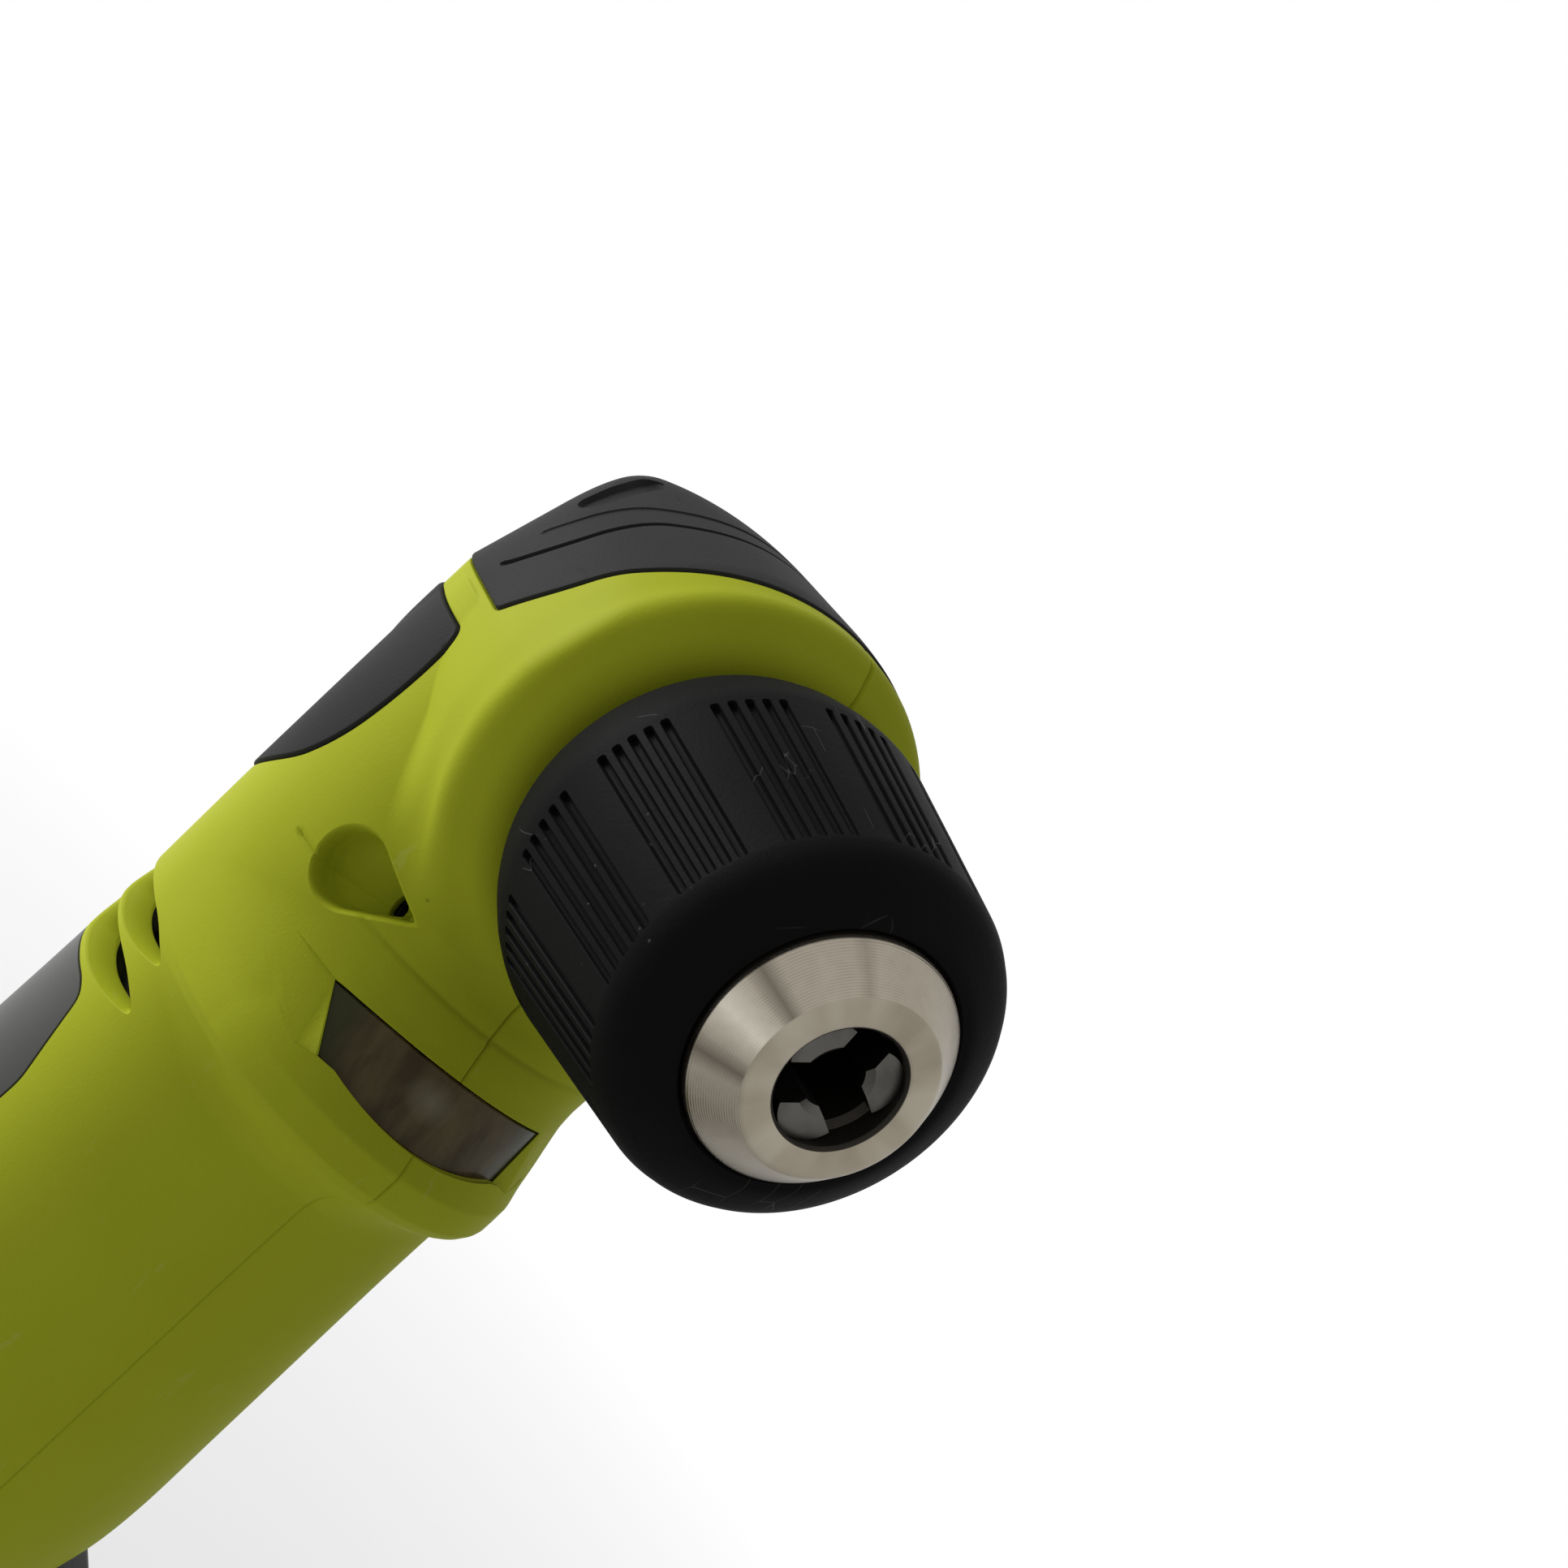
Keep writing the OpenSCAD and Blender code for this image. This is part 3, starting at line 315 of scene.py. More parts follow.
def worked_metal(name, colour, shade, roughness, scale=900.0, relief=0.00002):
    """Bare metal with a fine uneven surface and slight stains."""
    paint = Paint(name, colour, roughness, Metallic=1.0)
    paint.set("Base Color", paint.mix(paint.noise(220.0, 3.0).above(0.4, 0.3), colour, shade))
    paint.set("Roughness", paint.noise(380.0, 2.0) * 0.2 + (roughness - 0.1))
    paint.set("Normal", paint.bump(paint.noise(scale * 2, 2.0, 0.6), relief, 0.6))
    return paint.material


def turned_steel():
    """The nose's steel: lathe lines round the axis, a painted bright reflection fan between two painted dark
    reflection streaks, and a bore darkened by painted shade.
    """
    steel = Paint("nose_steel", linear(160, 152, 140), 0.3, Metallic=1.0)
    x, y, z = steel.axes()
    z = z - CHUCK_H * MM
    radius = ((y * y) + (z * z)).math("SQRT")
    turn = (-z).math("ARCTAN2", -y)
    lines = (radius * 39000.0).math("SINE") * 0.5 + 0.5
    broken = steel.noise(900.0, 2.0)
    around = steel.node("ShaderNodeCombineXYZ", inputs={0: y / radius, 1: z / radius, 2: radius * 60.0})
    cloud = steel.noise(1.6, 2.0, 0.5, around)
    cone = radius.above(0.00885, 0.0001)
    # Painted reflection: a bright fan on the cone, and dark streaks beside it, at fixed turns round the axis
    painted_reflection_fan = turn.near(0.15, 0.26)
    painted_dark_streaks = (turn.near(-0.2, 0.13) + turn.near(0.52, 0.13) + turn.near(-0.95, 0.1) * 0.4).clamp()
    # Painted shade: the inside of the bore is darkened, and made rougher
    cut = 0.0116 - (x - 0.06295) * 0.8586 - radius
    bore_shade_mask = cut.above(0.0003, 0.0001) * x.below(0.06613, 0.00003)
    tone = steel.mix(cloud.above(0.4, 0.3), linear(158, 151, 136), linear(136, 128, 112))
    tone = steel.mix(cone * (cloud * 0.5 + 0.1), tone, linear(176, 168, 156))
    # Painted reflection: the bright fan with its lathe lines, then the dark streaks
    tone = steel.mix(cone * painted_reflection_fan * (lines * 0.5 + 0.5), tone, linear(226, 220, 204))
    tone = steel.mix(cone * painted_dark_streaks * 0.75, tone, linear(84, 76, 66))
    tone = steel.mix(cone * lines * broken * 0.5, tone, linear(98, 90, 78))
    # Painted shade inside the bore
    tone = steel.mix(bore_shade_mask, tone, linear(52, 49, 44))
    steel.set("Base Color", tone)
    steel.set("Roughness", steel.noise(160.0, 2.0) * 0.14 + bore_shade_mask * 0.3 + 0.24)
    steel.set("Normal", steel.bump(lines * 0.8 + broken * 0.5, 0.000016, 0.8))
    return steel.material


def smoky_lens():
    """The lamp's smoky window: brown with paler mottling of dust and painted reflection streaks, a painted
    light spot where the lamp's chip shows through, and painted dark green shade at its ends.
    """
    glass = Paint("smoky_lens", linear(70, 61, 40), 0.16, Specular_IOR_Level=0.08)
    y, z = glass.axes()[1:]
    dy, dz = (y + 0.0014) / 0.0034, (z - 0.2703) / 0.0022
    # A painted light spot, paler, where the lamp's chip shows through
    painted_light_spot = (1.0 - ((dy * dy) + (dz * dz)).math("SQRT")).clamp()
    # Painted shade: dark green towards both ends, where the recess's end walls shade the lens
    painted_shade_ends = y.math("ABSOLUTE").above(0.0098, 0.0025)
    # Paler stretched mottling: dust, and painted reflection streaks
    mottle_and_painted_sheen = glass.noise(150.0, 3.0, 0.6, glass.stretched((1.0, 2.2, 0.7)))
    tone = glass.mix(mottle_and_painted_sheen.above(0.35, 0.3), linear(66, 55, 30), linear(98, 86, 56))
    tone = glass.mix(painted_shade_ends * 0.8, tone, linear(44, 50, 22))
    tone = glass.mix(painted_light_spot * 0.8, tone, linear(128, 122, 98))
    glass.set("Base Color", tone)
    glass.set("Roughness", glass.noise(240.0, 2.0) * 0.14 + 0.2)
    glass.set("Coat Weight", glass.noise(60.0) * 0.06 + 0.02)
    return glass.material


def wound(name, colour, shade, pitch):
    """Enamelled copper, drawn as fine wires."""
    paint = Paint(name, colour, 0.3, Metallic=1.0)
    x, y = paint.axes()[:2]
    wires = ((x + y) * (6283.0 / pitch)).math("SINE") * 0.5 + 0.5
    paint.set("Base Color", paint.mix(wires, shade, colour))
    paint.set("Roughness", paint.noise(700.0) * 0.2 + 0.2)
    paint.set("Normal", paint.bump(wires, 0.0001, 0.6))
    return paint.material


def stacked():
    """The armature's stack of thin sheets."""
    paint = Paint("lamination", linear(118, 118, 122), 0.42, Metallic=1.0)
    sheets = (paint.axes()[2] * (6283.0 / 0.5)).math("SINE") * 0.5 + 0.5
    paint.set("Base Color", paint.mix(sheets, linear(84, 84, 88), linear(130, 130, 134)))
    paint.set("Roughness", paint.noise(500.0) * 0.15 + 0.34)
    paint.set("Normal", paint.bump(sheets, 0.00005, 0.6))
    return paint.material


def circuit():
    """A green board with paler tracks and specks of solder."""
    paint = Paint("board", linear(24, 84, 48), 0.4)
    tracks = paint.cells(260.0, distance="MANHATTAN").above(0.5, 0.05)
    solder = paint.cells(420.0).below(0.1, 0.03)
    tone = paint.mix(tracks * 0.6, linear(20, 78, 44), linear(34, 104, 60))
    paint.set("Base Color", paint.mix(solder, tone, linear(170, 172, 168)))
    paint.set("Roughness", paint.noise(500.0) * 0.1 + 0.32)
    return paint.material


def wrapped_cell():
    """A cell's shrink sleeve."""
    paint = Paint("cell_wrap", linear(56, 110, 156), 0.3)
    wrinkle = paint.noise(90.0, 2.0, 0.5, paint.stretched((1.0, 1.0, 0.2)))
    paint.set("Base Color", paint.mix(wrinkle.above(0.4, 0.3), linear(56, 110, 156), linear(44, 94, 140)))
    paint.set("Roughness", wrinkle * 0.16 + 0.22)
    paint.set("Normal", paint.bump(wrinkle, 0.0001, 0.4))
    return paint.material


def insulation():
    """A wire's red sheath."""
    paint = Paint("wire_red", linear(150, 32, 28), 0.4)
    paint.set("Base Color", paint.mix(paint.noise(260.0), linear(158, 36, 30), linear(132, 26, 24)))
    paint.set("Roughness", paint.noise(300.0) * 0.1 + 0.35)
    return paint.material


def pale_floor():
    """A pale floor that fades to white away from the tool, as the backdrop does."""
    paint = Paint("floor", linear(246, 246, 246), 0.9, Specular_IOR_Level=0.0)
    x, y = paint.axes()[:2]
    far = ((x * x) + (y * y)).math("SQRT").above(0.1, 0.7) * 0.7 + 0.3
    white = paint.node("ShaderNodeEmission", inputs={"Color": (1, 1, 1), "Strength": 1.0})
    base = Value(paint, paint.shader.outputs[0])
    faded = paint.node("ShaderNodeMixShader", inputs={0: paint.seen() * far, 1: base, 2: white})
    paint.put(paint.output.inputs[0], faded)
    return paint.material


def finishes():
    return {
        "lime": moulded("lime", linear(171, 179, 40), linear(163, 170, 34), 0.58, specks=0.9, gloss=0.05),
        "latch": moulded("latch_lime", linear(150, 158, 34), linear(142, 150, 28), 0.45, gloss=0.35),
        "soft": moulded("soft", linear(47, 47, 47), linear(43, 43, 43), 0.66, 0.00005, gloss=0.05),
        "sleeve": dusted("sleeve", linear(23, 23, 23), linear(19, 19, 19), 0.55, 0.00004),
        "label": moulded("label", linear(72, 73, 70), linear(64, 65, 63), 0.4, 0.00001, gloss=0.2),
        "pack": moulded("pack", linear(40, 41, 43), linear(34, 35, 37), 0.52, 0.00005, gloss=0.3),
        "dark": moulded("dark", linear(30, 30, 31), linear(25, 25, 26), 0.5, 0.00003, gloss=0.3),
        "palm": knurled(), "nose": turned_steel(), "lens": smoky_lens(),
        "jaw": worked_metal("jaw_steel", linear(88, 86, 82), linear(62, 60, 57), 0.4),
        "screw": worked_metal("black_steel", linear(74, 74, 76), linear(58, 58, 60), 0.4),
        "case": worked_metal("die_cast", linear(186, 187, 188), linear(168, 169, 171), 0.5, 500.0, 0.00006),
        "bearing": worked_metal("ground_steel", linear(196, 196, 196), linear(184, 184, 184), 0.2),
        "gear": worked_metal("gear_steel", linear(150, 147, 142), linear(126, 122, 116), 0.3),
        "can": worked_metal("zinc_plate", linear(160, 160, 158), linear(142, 143, 146), 0.36),
        "magnet": worked_metal("ferrite", linear(76, 76, 80), linear(62, 62, 66), 0.55, 500.0, 0.00005),
        "copper": wound("copper", linear(192, 118, 72), linear(140, 78, 44), 0.6),
        "lamination": stacked(), "board": circuit(), "cell": wrapped_cell(), "wire": insulation(),
        "floor": pale_floor()}


LOOK = finishes()
# Each of the record's material slots and the finish that shows it
SLOT_LOOK = {
    "shell_lime": "lime", "soft_black": "soft", "lens": "lens", "board": "board", "label": "label",
    "screw": "screw", "case": "case", "bearing": "bearing", "gear_steel": "gear", "chuck_steel": "nose",
    "sleeve_black": "sleeve", "can": "can", "magnet": "magnet", "black_plastic": "dark",
    "lamination": "lamination", "copper": "copper", "wire_red": "wire", "cell_wrap": "cell",
    "latch_green": "latch"}


# the housing's form
# All forms take points in millimetres from the chuck's axis over the handle's axis and give a
# distance that is negative inside.
def soft_min(a, b, k):
    h = np.clip(0.5 + 0.5 * (b - a) / k, 0, 1)
    return b * (1 - h) + a * h - k * h * (1 - h)


def soft_max(a, b, k):
    return -soft_min(-a, -b, k)


def ease(value, low, high):
    t = np.clip((value - low) / (high - low), 0, 1)
    return t * t * (3 - 2 * t)


def eased_rows(rows):
    """Catmull-Rom rows between the given ones, as the solid model smooths its sections."""
    rows = np.array(rows, float)
    out, steps = [], 8
    for i in range(len(rows) - 1):
        a, b, c, d = rows[max(i - 1, 0)], rows[i], rows[i + 1], rows[min(i + 2, len(rows) - 1)]
        for u in np.arange(steps) / steps:
            out.append(b + 0.5 * u * (c - a + u * (2 * a - 5 * b + 4 * c - d + u * (3 * b - a - 3 * c + d))))
    return np.array(out + [rows[-1]])


# Drop below the chuck's axis, centre, half depth, half width, squareness
HANDLE = eased_rows([
    (-30, -0.3, 25.9, 26.0, 2), (-1.6, -0.3, 25.9, 26.0, 2), (30, -0.4, 25.6, 25.8, 2),
    (55, -0.5, 25.2, 25.4, 2), (85, -0.5, 25.7, 26.0, 2), (100, -0.6, 26.0, 26.3, 2),
    (109, -0.9, 25.3, 25.4, 2), (122, -1.6, 22.9, 21.8, 2.05), (150, -2, 22.0, 20.2, 2.1),
    (188, -2, 22.6, 20.6, 2.1), (223, -2, 23.6, 22.0, 2.2), (242, -1.8, 31, 27.5, 2.5),
    (258, -1.4, 40.5, 34, 3), (268, -1.2, 42, 35, 3.2)])


def superellipse(x, y, z, rows):
    centre, depth, width, power = (np.interp(-z, rows[:, 0], rows[:, k]) for k in (1, 2, 3, 4))
    g = (np.abs((x - centre) / depth) ** power + np.abs(y / width) ** power) ** (1 / power)
    return (g - 1) * np.minimum(depth, width)


def head_form(x, y, z):
    """A barrel about the chuck's axis, cut by a crown that tapers upwards at the back."""
    tube = np.hypot(y, z) - 25.95 + 0.4 * ease(x, 14, 20)
    cone = 0.8236 * (x - 21.5) + 0.567 * (np.hypot(y, z) - 25.5)
    front = soft_max(cone, x - 24.6, 1.0)
    plan = np.where(x < -0.3, np.hypot(x + 0.3, y), np.abs(y))
    taper = (plan - 26.45 + 0.245 * np.clip(z, 1.2, None)) * 0.97
    dome = (np.hypot(plan / 35, z / 26.1) - 1) * 26.1
    crown = soft_max(taper, np.where(z > 8, dome, -9), 1.6)
    return soft_max(soft_max(tube, front, 1.6), crown, 1.2)


# The chin by height: how far forward it lies on the middle plane, and one over its radius across
FRONT = np.array([(-60, 20), (-53, 24.0), (-49.8, 27.3), (-47.8, 30.3), (-46.8, 31.7), (-45.6, 32.4),
                  (-42.3, 32.4), (-31.8, 26.9), (-23.7, 23.4), (-10, 17.6)])
BEND = np.array([(-44, 1 / 22.5), (-34, 0.046), (-31, 0.044), (-28.2, 0.0398), (-25.1, 0.0244),
                 (-23.7, 0.018), (-10, 0.01)])


def chin_front(x, y, z):
    """The facet below the collar, the lens's slope and the round lip under it."""
    reach = np.interp(z, FRONT[:, 0], FRONT[:, 1])
    radius = np.where(z < -44, np.maximum(reach - 9.9, 1), 1 / np.interp(z, BEND[:, 0], BEND[:, 1]))
    return (np.hypot(x - (reach - radius), y) - radius) * 0.9


def housing_form(x, y, z):
    barrel = superellipse(x, y, z, HANDLE)
    facet = chin_front(x, y, z)
    trim = facet - 40 * ease(-z, 28.2, 31.0) - 40 * ease(10 - x, 0, 8)
    barrel = soft_max(soft_max(barrel, trim, 0.8), z - 0.5, 0.5)
    chin = soft_max(facet, z + 28.2, 0.3)
    blend = 0.2 + 3.5 * ease(-z, 29, 40) * (1 - 0.5 * ease(x, 18, 26))
    lower = soft_min(barrel, chin, blend)
    head = head_form(x, y, z)
    return soft_min(head, lower, 0.05 + 3.5 * ease(x, 9, 17) * ease(-z, 2, 10))


def unit(vectors):
    return vectors / np.maximum(np.linalg.norm(vectors, axis=-1, keepdims=True), 1e-9)


def normal_of(form, points):
    x, y, z, h = points[..., 0], points[..., 1], points[..., 2], 0.02
    return unit(np.stack([form(x + h, y, z) - form(x - h, y, z), form(x, y + h, z) - form(x, y - h, z),
                          form(x, y, z + h) - form(x, y, z - h)], -1) / (2 * h))


def march(form, start, heading, near=2.0, far=70.0, level=0.0):
    """Where rays from inside the form leave it."""
    lo = np.full(start.shape[:-1], near)
    hi = np.full(start.shape[:-1], far)
    for _ in range(34):
        mid = (lo + hi) / 2
        p = start + heading * mid[..., None]
        inside = form(p[..., 0], p[..., 1], p[..., 2]) < level
        lo, hi = np.where(inside, mid, lo), np.where(inside, hi, mid)
    return start + heading * lo[..., None]


def centre_line(z):
    return np.interp(-z, [60, 150, 268], [0, -2, -1.2])


def skin_points(form, level, turns, rises, heights):
    """Rows of points on the form: over the top from the pole, then down the handle."""
    c, s = np.cos(turns), np.sin(turns)
    start, heading = [], []
    for e in rises:
        start.append(np.zeros((len(turns), 3)))
        heading.append(np.stack([math.cos(e) * c, math.cos(e) * s, np.full_like(c, math.sin(e))], -1))
    for z in heights:
        start.append(np.tile([centre_line(z), 0, z], (len(turns), 1)))
        heading.append(np.stack([c, s, np.zeros_like(c)], -1))
    return march(form, np.array(start), np.array(heading), level=level)


# making pieces
def piece(name, verts, faces, look=None, lift=CHUCK_H, outward=True):
    """An object at the origin from millimetres, with its faces turned outwards."""
    mesh = bpy.data.meshes.new(name)
    mesh.from_pydata([(x * MM, y * MM, (z + lift) * MM) for x, y, z in verts], [], faces)
    if outward:
        work = bmesh.new()
        work.from_mesh(mesh)
        bmesh.ops.recalc_face_normals(work, faces=work.faces)
        work.to_mesh(mesh)
        work.free()
    mesh.update()
    obj = bpy.data.objects.new(name, mesh)
    scene.collection.objects.link(obj)
    if look:
        mesh.materials.append(LOOK[look])
    return obj


def loft(rows, name="tool", look=None, lift=CHUCK_H, looped=False):
    """A closed skin through rings of points, with a fan at each end or looped back to the first ring."""
    rows = np.array(rows, float)
    count, across = rows.shape[:2]
    verts = [tuple(p) for row in rows for p in row]
    faces = [(i * across + k, (i + 1) % count * across + k, (i + 1) % count * across + (k + 1) % across,
              i * across + (k + 1) % across) for i in range(count if looped else count - 1)
             for k in range(across)]
    if not looped:
        last = (count - 1) * across
        verts += [tuple(rows[0].mean(0)), tuple(rows[-1].mean(0))]
        faces += [((k + 1) % across, count * across, k) for k in range(across)]
        faces += [(last + k, count * across + 1, last + (k + 1) % across) for k in range(across)]
    return piece(name, verts, faces, look, lift)


def applied(obj):
    """Turns the object's modifiers into plain mesh."""
    bpy.context.view_layer.update()
    mesh = bpy.data.meshes.new_from_object(obj.evaluated_get(bpy.context.evaluated_depsgraph_get()))
    old = obj.data
    obj.modifiers.clear()
    obj.data = mesh
    mesh.name = obj.name
    if not old.users:
        bpy.data.meshes.remove(old)
    return obj


def carve(obj, *tools, how="DIFFERENCE", keep=False):
    for tool in tools:
        cut = obj.modifiers.new("cut", "BOOLEAN")
        cut.operation, cut.object, cut.solver = how, tool, "MANIFOLD"
    applied(obj)
    if not keep:
        for tool in tools:
            mesh = tool.data
            bpy.data.objects.remove(tool)
            if not mesh.users:
                bpy.data.meshes.remove(mesh)
    return obj


def shade(obj, angle=30.0):
    obj.data.shade_smooth()
    obj.data.set_sharp_from_angle(angle=math.radians(angle))
    return obj


BOX_FACES = [(0, 1, 3, 2), (4, 6, 7, 5), (0, 4, 5, 1), (2, 3, 7, 6), (0, 2, 6, 4), (1, 5, 7, 3)]


def block(x0, x1, y0, y1, z0, z1):
    return piece("tool", [(x, y, z) for x in (x0, x1) for y in (y0, y1) for z in (z0, z1)], BOX_FACES)


def revolved(name, profile, look=None, steps=256, closed=False, origin=(0, 0, 0), heading=(1, 0, 0),
             lift=CHUCK_H):
    """A solid of revolution, about the chuck's axis or another, from points of radius and reach."""
    heading = unit(np.array(heading, float))
    side = unit(np.cross(heading, [0.0, 0.0, 1.0] if abs(heading[2]) < 0.9 else [1.0, 0.0, 0.0]))
    other = np.cross(heading, side)
    a = 2 * math.pi * np.arange(steps) / steps
    ring = np.cos(a)[:, None] * side + np.sin(a)[:, None] * other
    rows = [np.array(origin) + heading * along + ring * r for r, along in profile]
    return loft(rows, name, look, lift, closed)


def rounded(points, radius, steps=4):
    """A closed outline with its corners rounded."""
    out = []
    count = len(points)
    for i in range(count):
        a, b, c = (np.array(points[(i + k) % count], float) for k in (-1, 0, 1))
        u, v = a - b, c - b
        lu, lv = np.linalg.norm(u), np.linalg.norm(v)
        cut = min(radius, lu * 0.45, lv * 0.45)
        p, q = b + u / lu * cut, b + v / lv * cut
        for t in np.linspace(0, 1, steps + 1):
            out.append((1 - t) ** 2 * p + 2 * t * (1 - t) * b + t * t * q)
    return np.array(out)


def offset_outline(points, distance):
    """A closed outline moved outwards by the distance."""
    before, after = np.roll(points, 1, axis=0), np.roll(points, -1, axis=0)
    tangent = after - before
    tangent /= np.maximum(np.linalg.norm(tangent, axis=1, keepdims=True), 1e-9)
    normal = np.stack([tangent[:, 1], -tangent[:, 0]], -1)
    area = np.sum(points[:, 0] * after[:, 1] - after[:, 0] * points[:, 1])
    return points + normal * distance * (1 if area > 0 else -1)


# lines on the housing
def on_side(points, side, level=0.0, near=0.5):
    """Side points brought straight out to the skin of one side."""
    start = np.stack([points[:, 0], np.zeros(len(points)), points[:, 1]], -1)
    return march(housing_form, start, np.tile([0.0, side, 0.0], (len(points), 1)), near, 60, level)


def wall_depth(line, level):
    """How far to the side the skin lies on a side outline, and zero where it is clear of it."""
    inside = housing_form(line[:, 0], 0 * line[:, 0], line[:, 1]) < level
    return np.where(inside, -on_side(line, -1.0, level, 0.0)[:, 1], 0)


def travelled(path):
    """The way along a line to each of its points."""
    return np.concatenate([[0], np.cumsum(np.linalg.norm(np.diff(path, axis=0), axis=1))])


def spaced(path, step, closed=True):
    """The same line with its points a step apart."""
    if closed:
        path = np.vstack([path, path[:1]])
    reach = travelled(path)
    count = max(6, int(reach[-1] / step))
    at = np.linspace(0, reach[-1], count + 1)
    out = np.stack([np.interp(at, reach, path[:, k]) for k in range(path.shape[1])], -1)
    return out[:-1] if closed else out


SKIN_STEP = 0.45         # spacing of the points of a line on the skin
TOP_HALF = 9.0           # nearer the middle plane than this, a side outline is followed over the top


def crossing(line, start, end, level):
    """The way of a side outline over the top, up to the middle plane."""
    rows = []
    for want in TOP_HALF * np.cos(np.linspace(0, math.pi / 2, 26)[1:]):
        inner, outer = float(start), float(end)
        for _ in range(26):
            mid = (inner + outer) / 2
            x, z = (np.interp(mid, np.arange(len(line)), line[:, k]) for k in (0, 1))
            inner, outer = (mid, outer) if housing_form(x, want, z) < level else (inner, mid)
        rows.append((x, -want, z))
    return rows


def wrapped(curve, level=0.0, closed=True):
    """A side outline on the skin, along the left side and back on the right.

    A closed one runs forwards along its lower edge, so that what it holds lies on its left.
    An open one starts low on the left and ends low on the right."""
    line = spaced(np.array(curve, float), 0.25, closed=False)
    depth = wall_depth(line, level)
    first, last = np.nonzero(depth > TOP_HALF)[0][[0, -1]]
    middle = [(line[k, 0], -depth[k], line[k, 1]) for k in range(first, last + 1)]
    lower = crossing(line, first, 0, level)[::-1] if closed else []
    left = np.array(lower + middle + crossing(line, last, len(line) - 1, level))
    right = left[::-1][1:] * [1, -1, 1]
    return spaced(np.vstack([left, right[:-1] if closed else right]), SKIN_STEP, closed)


def swept(path, profile, closed=True):
    """A closed tool along a line on the skin, from a section of (across, height) points."""
    normal = normal_of(housing_form, path)
    along = np.roll(path, -1, 0) - np.roll(path, 1, 0) if closed else np.gradient(path, axis=0)
    across = unit(np.cross(along, normal))
    size = np.ones(len(path))
    if not closed:
        reach = travelled(path)
        end = np.minimum(reach, reach[-1] - reach) / max(abs(point[0]) for point in profile)
        size = np.sqrt(np.clip(1 - (1 - np.clip(end, 0.02, 1)) ** 2, 0.02, 1))
    profile = np.array(profile, float)
    rows = path[:, None] + (across[:, None] * profile[None, :, :1] + normal[:, None] * profile[None, :, 1:]
                            ) * size[:, None, None]
    return loft(rows, looped=closed)


def seam(rise, width=0.5, gap=0.07, deep=0.7):
    """Section of the joint between a cover and the shell: both edges rounded, a narrow gap between."""
    return [(-width, rise + 0.4), (-width * 0.85, rise + 0.02), (-width * 0.45, rise - 0.05),
            (-gap - 0.04, rise - 0.22), (-gap, rise - 0.45), (-gap, -deep), (gap, -deep), (gap, -0.4),
            (gap + 0.04, -0.2), (width * 0.45, -0.05), (width * 0.8, 0.02), (width * 0.9, rise + 0.4)]


def gouge(width, deep):
    """Section of a soft-edged groove."""
    return [(-width - 0.15, 0.3), (-width, 0), (-width * 0.7, -deep * 0.8), (0, -deep),
            (width * 0.7, -deep * 0.8), (width, 0), (width + 0.15, 0.3)]


def prism(outline, side=0):
    """A straight block of a side outline, through the whole tool or on one side of it."""
    reach = {-1: (-60, -4), 0: (-60, 60), 1: (4, 60)}[side]
    return loft([[(x, y, z) for x, z in outline] for y in reach])


# the housing halves
def dense_turns(count):
    """Angles round the handle, gathered at the parting line."""
    fine = np.radians([0.0, 0.12, 0.5, 0.9, 1.4])
    base = np.linspace(math.radians(2.2), math.pi - math.radians(2.2), count // 2)
    half = np.concatenate([fine, base, math.pi - fine[::-1]])
    return np.concatenate([half, -half[-2:0:-1]])


PARTING_HALF = 0.34      # half the width of the strip at the parting line that keeps its own shading


def parted_form(x, y, z):
    """The housing with a shallow groove along the parting line."""
    depth = 0.38 - 0.16 * ease(-z, 30, 50)
    return housing_form(x, y, z) + depth * np.clip(1 - np.abs(y) / 0.3, 0, 1)


def skin_solid(level, top=None, bottom=268.0, fine=1.0, form=housing_form, name="tool", look=None):
    """The housing's form as a closed solid, over its crown or from one height down to another."""
    count = int((420) / fine)
    step = 0.42 * fine
    turns = dense_turns(count)
    rises = np.radians(np.linspace(88, 0.8, int(38 / step))) if top is None else []
    marks = [(0, 56, step), (56, 112, 1.6 * fine), (112, 220, 3.0 * fine), (220, 268, 1.5 * fine)]
    depths = np.concatenate([np.arange(a, b, s) for a, b, s in marks])
    first = top or 0
    depths = np.concatenate([[first], depths[(depths > first) & (depths < bottom)], [bottom]])
    return loft(skin_points(form, level, turns, rises, -depths), name, look)


def cad_copy(node):
    """A merged copy of a solid node, for use as a tool."""
    source = bpy.data.objects[node]
    copy = bpy.data.objects.new("tool", source.data.copy())
    scene.collection.objects.link(copy)
    work = bmesh.new()
    work.from_mesh(copy.data)
    bmesh.ops.remove_doubles(work, verts=work.verts, dist=1e-7)
    work.to_mesh(copy.data)
    work.free()
    return copy


# Thickness of the shell, the covers, the label plates and the walls left round recesses and vents
SHELL_WALL, COVER_DEPTH, LABEL_DEPTH, RECESS_WALL, VENT_WALL = 1.2, 1.3, 0.7, 1.1, 0.9
SIDE_FAR = -40.0
